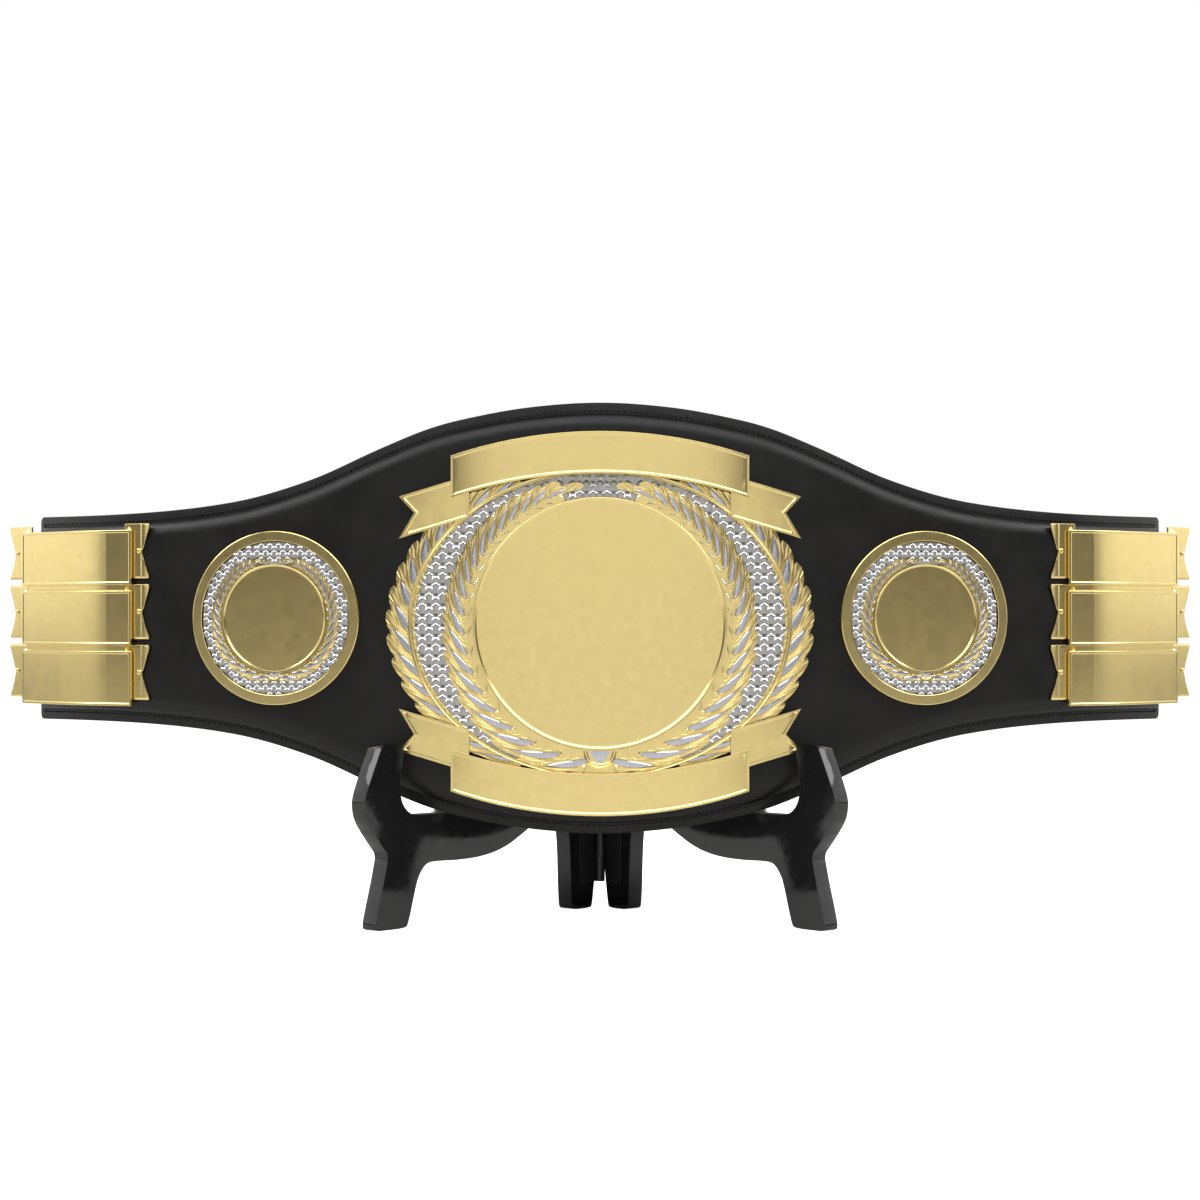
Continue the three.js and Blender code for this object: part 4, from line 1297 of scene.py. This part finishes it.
# One folded bar: its rimmed face, the slopes behind it and a wing at both ends
def addBar(bm, look, index):
    low = barLow(look, index)
    high = low + look["height"]
    front = plateBase + look["depth"]
    start, end = look["start"], look["start"] + look["length"]
    panel = barSheet(look, start, end, low, high, front)
    sinkInside(panel, look)
    closeBehind(panel, thickness=look["face"])
    bevelEdges(panel, 0.35)
    addFrom(bm, panel)
    body = barSheet(look, start, end, low, high, front - look["face"] + 0.3)
    made = bmesh.ops.extrude_face_region(body, geom=body.faces[:])
    length = end - start
    for vert in (item for item in made["geom"] if isinstance(item, bmesh.types.BMVert)):
        share = (vert.co.x - start) / length
        vert.co.x = start + look["taper"] + (length - 2 * look["taper"]) * share
        atEnd = share < 0.01 or share > 0.99
        vert.co.y += look["foldRise"] if atEnd or vert.co.y < (low + high) / 2 else -0.4
        vert.co.z = plateBase
    bmesh.ops.recalc_face_normals(body, faces=body.faces)
    addFrom(bm, body)
    addWing(bm, look, low + look["foldRise"], 1)
    addWing(bm, look, low + look["foldRise"], -1)


# A round pin through a wing, with a domed head
def endPin(look, sideName, side, index, where, direction):
    end, reach = barEnd(look, direction)
    offset = (
        end + direction * (reach - look["pinPlace"]),
        (index - (look["bars"] - 1) / 2) * look["pitch"] + look["foldRise"],
    )
    foot, base = plateBase + 0.2, plateBase + look["wing"] + 0.3
    rows = [(0, foot), (look["pinRadius"], foot), (look["pinRadius"], base)]
    rows += [(look["pinHead"], base), (look["pinHead"], base + 0.25 * look["pinDome"])]
    for step in range(1, 6):
        turn = math.pi / 2 * step / 5
        rise = base + look["pinDome"] * (0.25 + 0.75 * math.sin(turn))
        rows.append((look["pinHead"] * math.cos(turn) if step < 5 else 0, rise))
    pin = turnRound(rows, 20)
    layOnBelt(pin, offset=offset, side=side)
    node = "end_pin_%s_%s_%d" % (sideName.lower(), where.lower(), index + 1)
    finishPiece("endPin%s%s%d" % (sideName, where, index + 1), pin, gold, [node], 50)


def endPlatePiece(look, sideName, side):
    bm = bmesh.new()
    for index in range(look["bars"]):
        addBar(bm, look, index)
    front = plateBase + look["depth"] - look["linkSetback"]
    start = look["start"] + look["linkInset"]
    end = look["start"] + look["length"] - look["linkInset"]
    for index in range(1, look["bars"]):
        high = barLow(look, index) + linkShape["overlap"]
        low = high - (look["pitch"] - look["height"]) - 2 * linkShape["overlap"]
        link = barSheet(look, start, end, low, high, front)
        sinkInside(link, linkShape)
        closeBehind(link, thickness=look["linkThickness"])
        addFrom(bm, link)
    layOnBelt(bm, side=side)
    finishPiece("endPlate" + sideName, bm, gold, ["end_plate_" + sideName.lower()], 40, 1.2)
    for index in range(look["bars"]):
        endPin(look, sideName, side, index, "Outer", 1)
        endPin(look, sideName, side, index, "Inner", -1)


endPlatePiece(endPlate, "Right", 1)
endPlatePiece(endPlate, "Left", -1)
print("end plates ready")


# Matt pale paint on the studio floor, lit evenly to white where the camera sees it
floor = {
    "size": 30,
    "tones": ("#DADAD8", "#DFDFDD"),
    "patterns": {"mottle": ("Noise", 500, 1, {"Detail": 2.0})},
    "shader": {"Roughness": 0.85, "Emission Color": hexColour("#FFFFFF")},
}
cameraPlace = {
    "distance": 1943,
    "height": 210,
    "lens": 85,
    "sensor": 36,
    "horizonDrop": 0.015,
    "farthest": 100,
}


def studioFloor(look):
    bm = bmesh.new()
    bmesh.ops.create_grid(bm, x_segments=1, y_segments=1, size=look["size"] / 2)
    mesh = bpy.data.meshes.new("studioFloor")
    bm.to_mesh(mesh)
    bm.free()
    made = bpy.data.objects.new("studioFloor", mesh)
    bpy.context.scene.collection.objects.link(made)
    paint = makeSurface("floorPaint", look)
    tree = paint.node_tree
    path = addNode(tree, "ShaderNodeLightPath")
    glow = tree.nodes["Principled BSDF"].inputs["Emission Strength"]
    tree.links.new(path.outputs["Is Camera Ray"], glow)
    mesh.materials.append(paint)


def beltCamera(look):
    data = bpy.data.cameras.new("beltCamera")
    data.lens = look["lens"]
    data.sensor_width = look["sensor"]
    data.shift_y = look["horizonDrop"]
    data.clip_end = look["farthest"]
    made = bpy.data.objects.new("beltCamera", data)
    made.location = (0, (beltBack - look["distance"]) * millimetre, look["height"] * millimetre)
    made.rotation_euler = (math.pi / 2, 0, 0)
    bpy.context.scene.collection.objects.link(made)
    bpy.context.scene.camera = made
    bpy.context.scene.view_settings.view_transform = "Standard"


# Softboxes in metres, degrees and watts. All but the front and the top one stand on both sides.
lights = {
    "front": {"azimuth": 0, "elevation": 3, "distance": 3.4, "width": 1.95, "height": 2.2, "power": 11.3},
    "Side": {"azimuth": 99, "elevation": 24, "distance": 2.6, "width": 2.3, "height": 2.4, "power": 20},
    "High": {"azimuth": 78, "elevation": 36, "distance": 2.6, "width": 1.6, "height": 0.9, "power": 18},
    "Back": {"azimuth": 145, "elevation": 12, "distance": 2.6, "width": 2.2, "height": 2.2, "power": 16},
    "top": {"azimuth": 0, "elevation": 50, "distance": 2.4, "width": 5.0, "height": 1.5, "power": 80},
}


def studioLight(name, look, side=1):
    data = bpy.data.lights.new(name + "Softbox", "AREA")
    data.shape = "RECTANGLE"
    data.size = look["width"]
    data.size_y = look["height"]
    data.energy = look["power"]
    made = bpy.data.objects.new(name + "Softbox", data)
    azimuth, elevation = math.radians(side * look["azimuth"]), math.radians(look["elevation"])
    level = math.cos(elevation)
    direction = Vector((math.sin(azimuth) * level, -math.cos(azimuth) * level, math.sin(elevation)))
    target = Vector((0, 0, belt["centreHeight"] * millimetre))
    made.location = target + direction * look["distance"]
    made.rotation_euler = direction.to_track_quat("Z", "Y").to_euler()
    bpy.context.scene.collection.objects.link(made)


sky = {"seen": "#FFFFFF", "seenStrength": 1.0, "lit": "#FFFFFF", "litStrength": 0.16}


# The plain backdrop is white where it is seen, and dimmer where it lights the object
def studioSky(look):
    world = bpy.data.worlds.new("studioSky")
    bpy.context.scene.world = world
    world.use_nodes = True
    tree = world.node_tree
    tree.nodes.clear()
    seen = addNode(
        tree, "ShaderNodeBackground", {"Color": hexColour(look["seen"]), "Strength": look["seenStrength"]}
    )
    lit = addNode(
        tree, "ShaderNodeBackground", {"Color": hexColour(look["lit"]), "Strength": look["litStrength"]}
    )
    path = addNode(tree, "ShaderNodeLightPath")
    mixed = addNode(tree, "ShaderNodeMixShader", {}, {"Fac": path.outputs["Is Camera Ray"]})
    tree.links.new(lit.outputs[0], mixed.inputs[1])
    tree.links.new(seen.outputs[0], mixed.inputs[2])
    addNode(tree, "ShaderNodeOutputWorld", {}, {"Surface": mixed.outputs[0]})


# The stand's boards. Rows are shares of the front or the back reach, and heights in ledge heights.
boardShape = {
    "thickness": 13,
    "spread": math.radians(42.2),
    "frontReach": 65,
    "backReach": 155,
    "tallest": 2.56,
    "edge": 0.9,
    "cornerRound": 3.2,
    "cornerTurn": math.radians(50),
    "softenings": 3,
    "front": [
        (0.38, 0), (-0.03, 0), (-0.06, 0.04), (0.08, 0.45), (0.135, 0.66), (-0.03, 0.82), (-0.165, 0.97),
        (-0.2, 1.08), (-0.195, 1.2), (0.05, 1.64), (0.28, 1.64), (0.36, 1.6), (0.335, 1.46),
        (0.3, 1.33), (0.3, 1.21), (0.34, 1.1), (0.43, 1.025), (0.53, 1), (1, 1),
    ],
    "back": [
        (0, 2.5), (0.03, 2.56), (0.12, 2.56), (0.2, 2.46), (0.45, 1.95), (0.75, 1.6), (1, 1.5),
        (0.99, 0.7), (0.95, 0.03), (0.935, 0), (0.82, 0), (0.805, 0.04), (0.795, 0.7), (0.77, 0.87),
        (0.715, 0.95), (0.62, 0.92), (0.5, 0.78), (0.36, 0.64), (0.22, 0.58), (0.07, 0.565),
    ],
    "leg": [(0.82, 0.575), (0.68, 0.565), (0.58, 0.47), (0.53, 0.37), (0.42, 0.04)],
}


def outlineTurn(outline, index):
    before = outline[index] - outline[index - 1]
    after = outline[(index + 1) % len(outline)] - outline[index]
    return before.angle(after)


# Cuts each soft turn of an outline into two softer ones, and leaves its sharp corners alone
def smoothOutline(outline, limit):
    softer = []
    for index, point in enumerate(outline):
        if outlineTurn(outline, index) > limit:
            softer.append(point)
            continue
        softer.append(point.lerp(outline[index - 1], 0.25))
        softer.append(point.lerp(outline[(index + 1) % len(outline)], 0.25))
    return softer


def boardOutline(look):
    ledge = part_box("easel_board_right")[1][2] / millimetre / look["tallest"]
    front, back = look["frontReach"], look["backReach"]
    outline = [(along * front - front - back, up) for along, up in look["front"]]
    outline += [((along - 1) * back, up) for along, up in look["back"]]
    outline += [(along * front - front - back, up) for along, up in look["leg"]]
    outline = [Vector((along, 0, up * ledge)) for along, up in outline]
    for _ in range(look["softenings"]):
        outline = smoothOutline(outline, look["cornerTurn"])
    return outline


# One board: its outline smoothed and rounded at its corners, thickened, with polished edges
def easelBoard(look, sideName, side):
    bm = bmesh.new()
    outline = boardOutline(look)
    verts = [bm.verts.new(point) for point in outline]
    bm.faces.new(verts)
    turns = [outlineTurn(outline, index) for index in range(len(outline))]
    corners = [vert for vert, turn in zip(verts, turns) if turn > look["cornerTurn"]]
    bevelCorners(bm, corners, look["cornerRound"])
    bmesh.ops.translate(bm, verts=bm.verts, vec=(0, -look["thickness"] / 2, 0))
    made = bmesh.ops.extrude_face_region(bm, geom=bm.faces[:])
    moved = [item for item in made["geom"] if isinstance(item, bmesh.types.BMVert)]
    bmesh.ops.translate(bm, verts=moved, vec=(0, look["thickness"], 0))
    bmesh.ops.recalc_face_normals(bm, faces=bm.faces)
    bevelEdges(bm, look["edge"], 70, 3)
    node = "easel_board_" + sideName.lower()
    endX = look["thickness"] / 2 * math.cos(look["spread"]) + belt["gap"]
    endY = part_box(node)[1][1] / millimetre - look["thickness"] / 2 * math.sin(look["spread"])
    turn = Matrix.Rotation(look["spread"] - math.pi / 2, 4, "Z")
    for vert in bm.verts:
        vert.co = turn @ Vector((-vert.co.x, vert.co.y, vert.co.z))
        vert.co.x = side * (vert.co.x + endX)
        vert.co.y += endY
    bmesh.ops.recalc_face_normals(bm, faces=bm.faces)
    return finishPiece("easelBoard" + sideName, bm, acrylic, [node], 35, 400, True)


easelBoard(boardShape, "Right", 1)
easelBoard(boardShape, "Left", -1)
for nodeName in ("hinge_leaf_left", "hinge_leaf_right", "hinge_pin"):
    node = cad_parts[nodeName]
    node.data.materials.clear()
    node.data.materials.append(hingeSteel)
print("stand ready")

studioFloor(floor)
beltCamera(cameraPlace)
studioLight("front", lights["front"])
for lightName in ("Side", "High", "Back"):
    studioLight("left" + lightName, lights[lightName], -1)
    studioLight("right" + lightName, lights[lightName])
studioLight("top", lights["top"])
studioSky(sky)

print("stage ready")
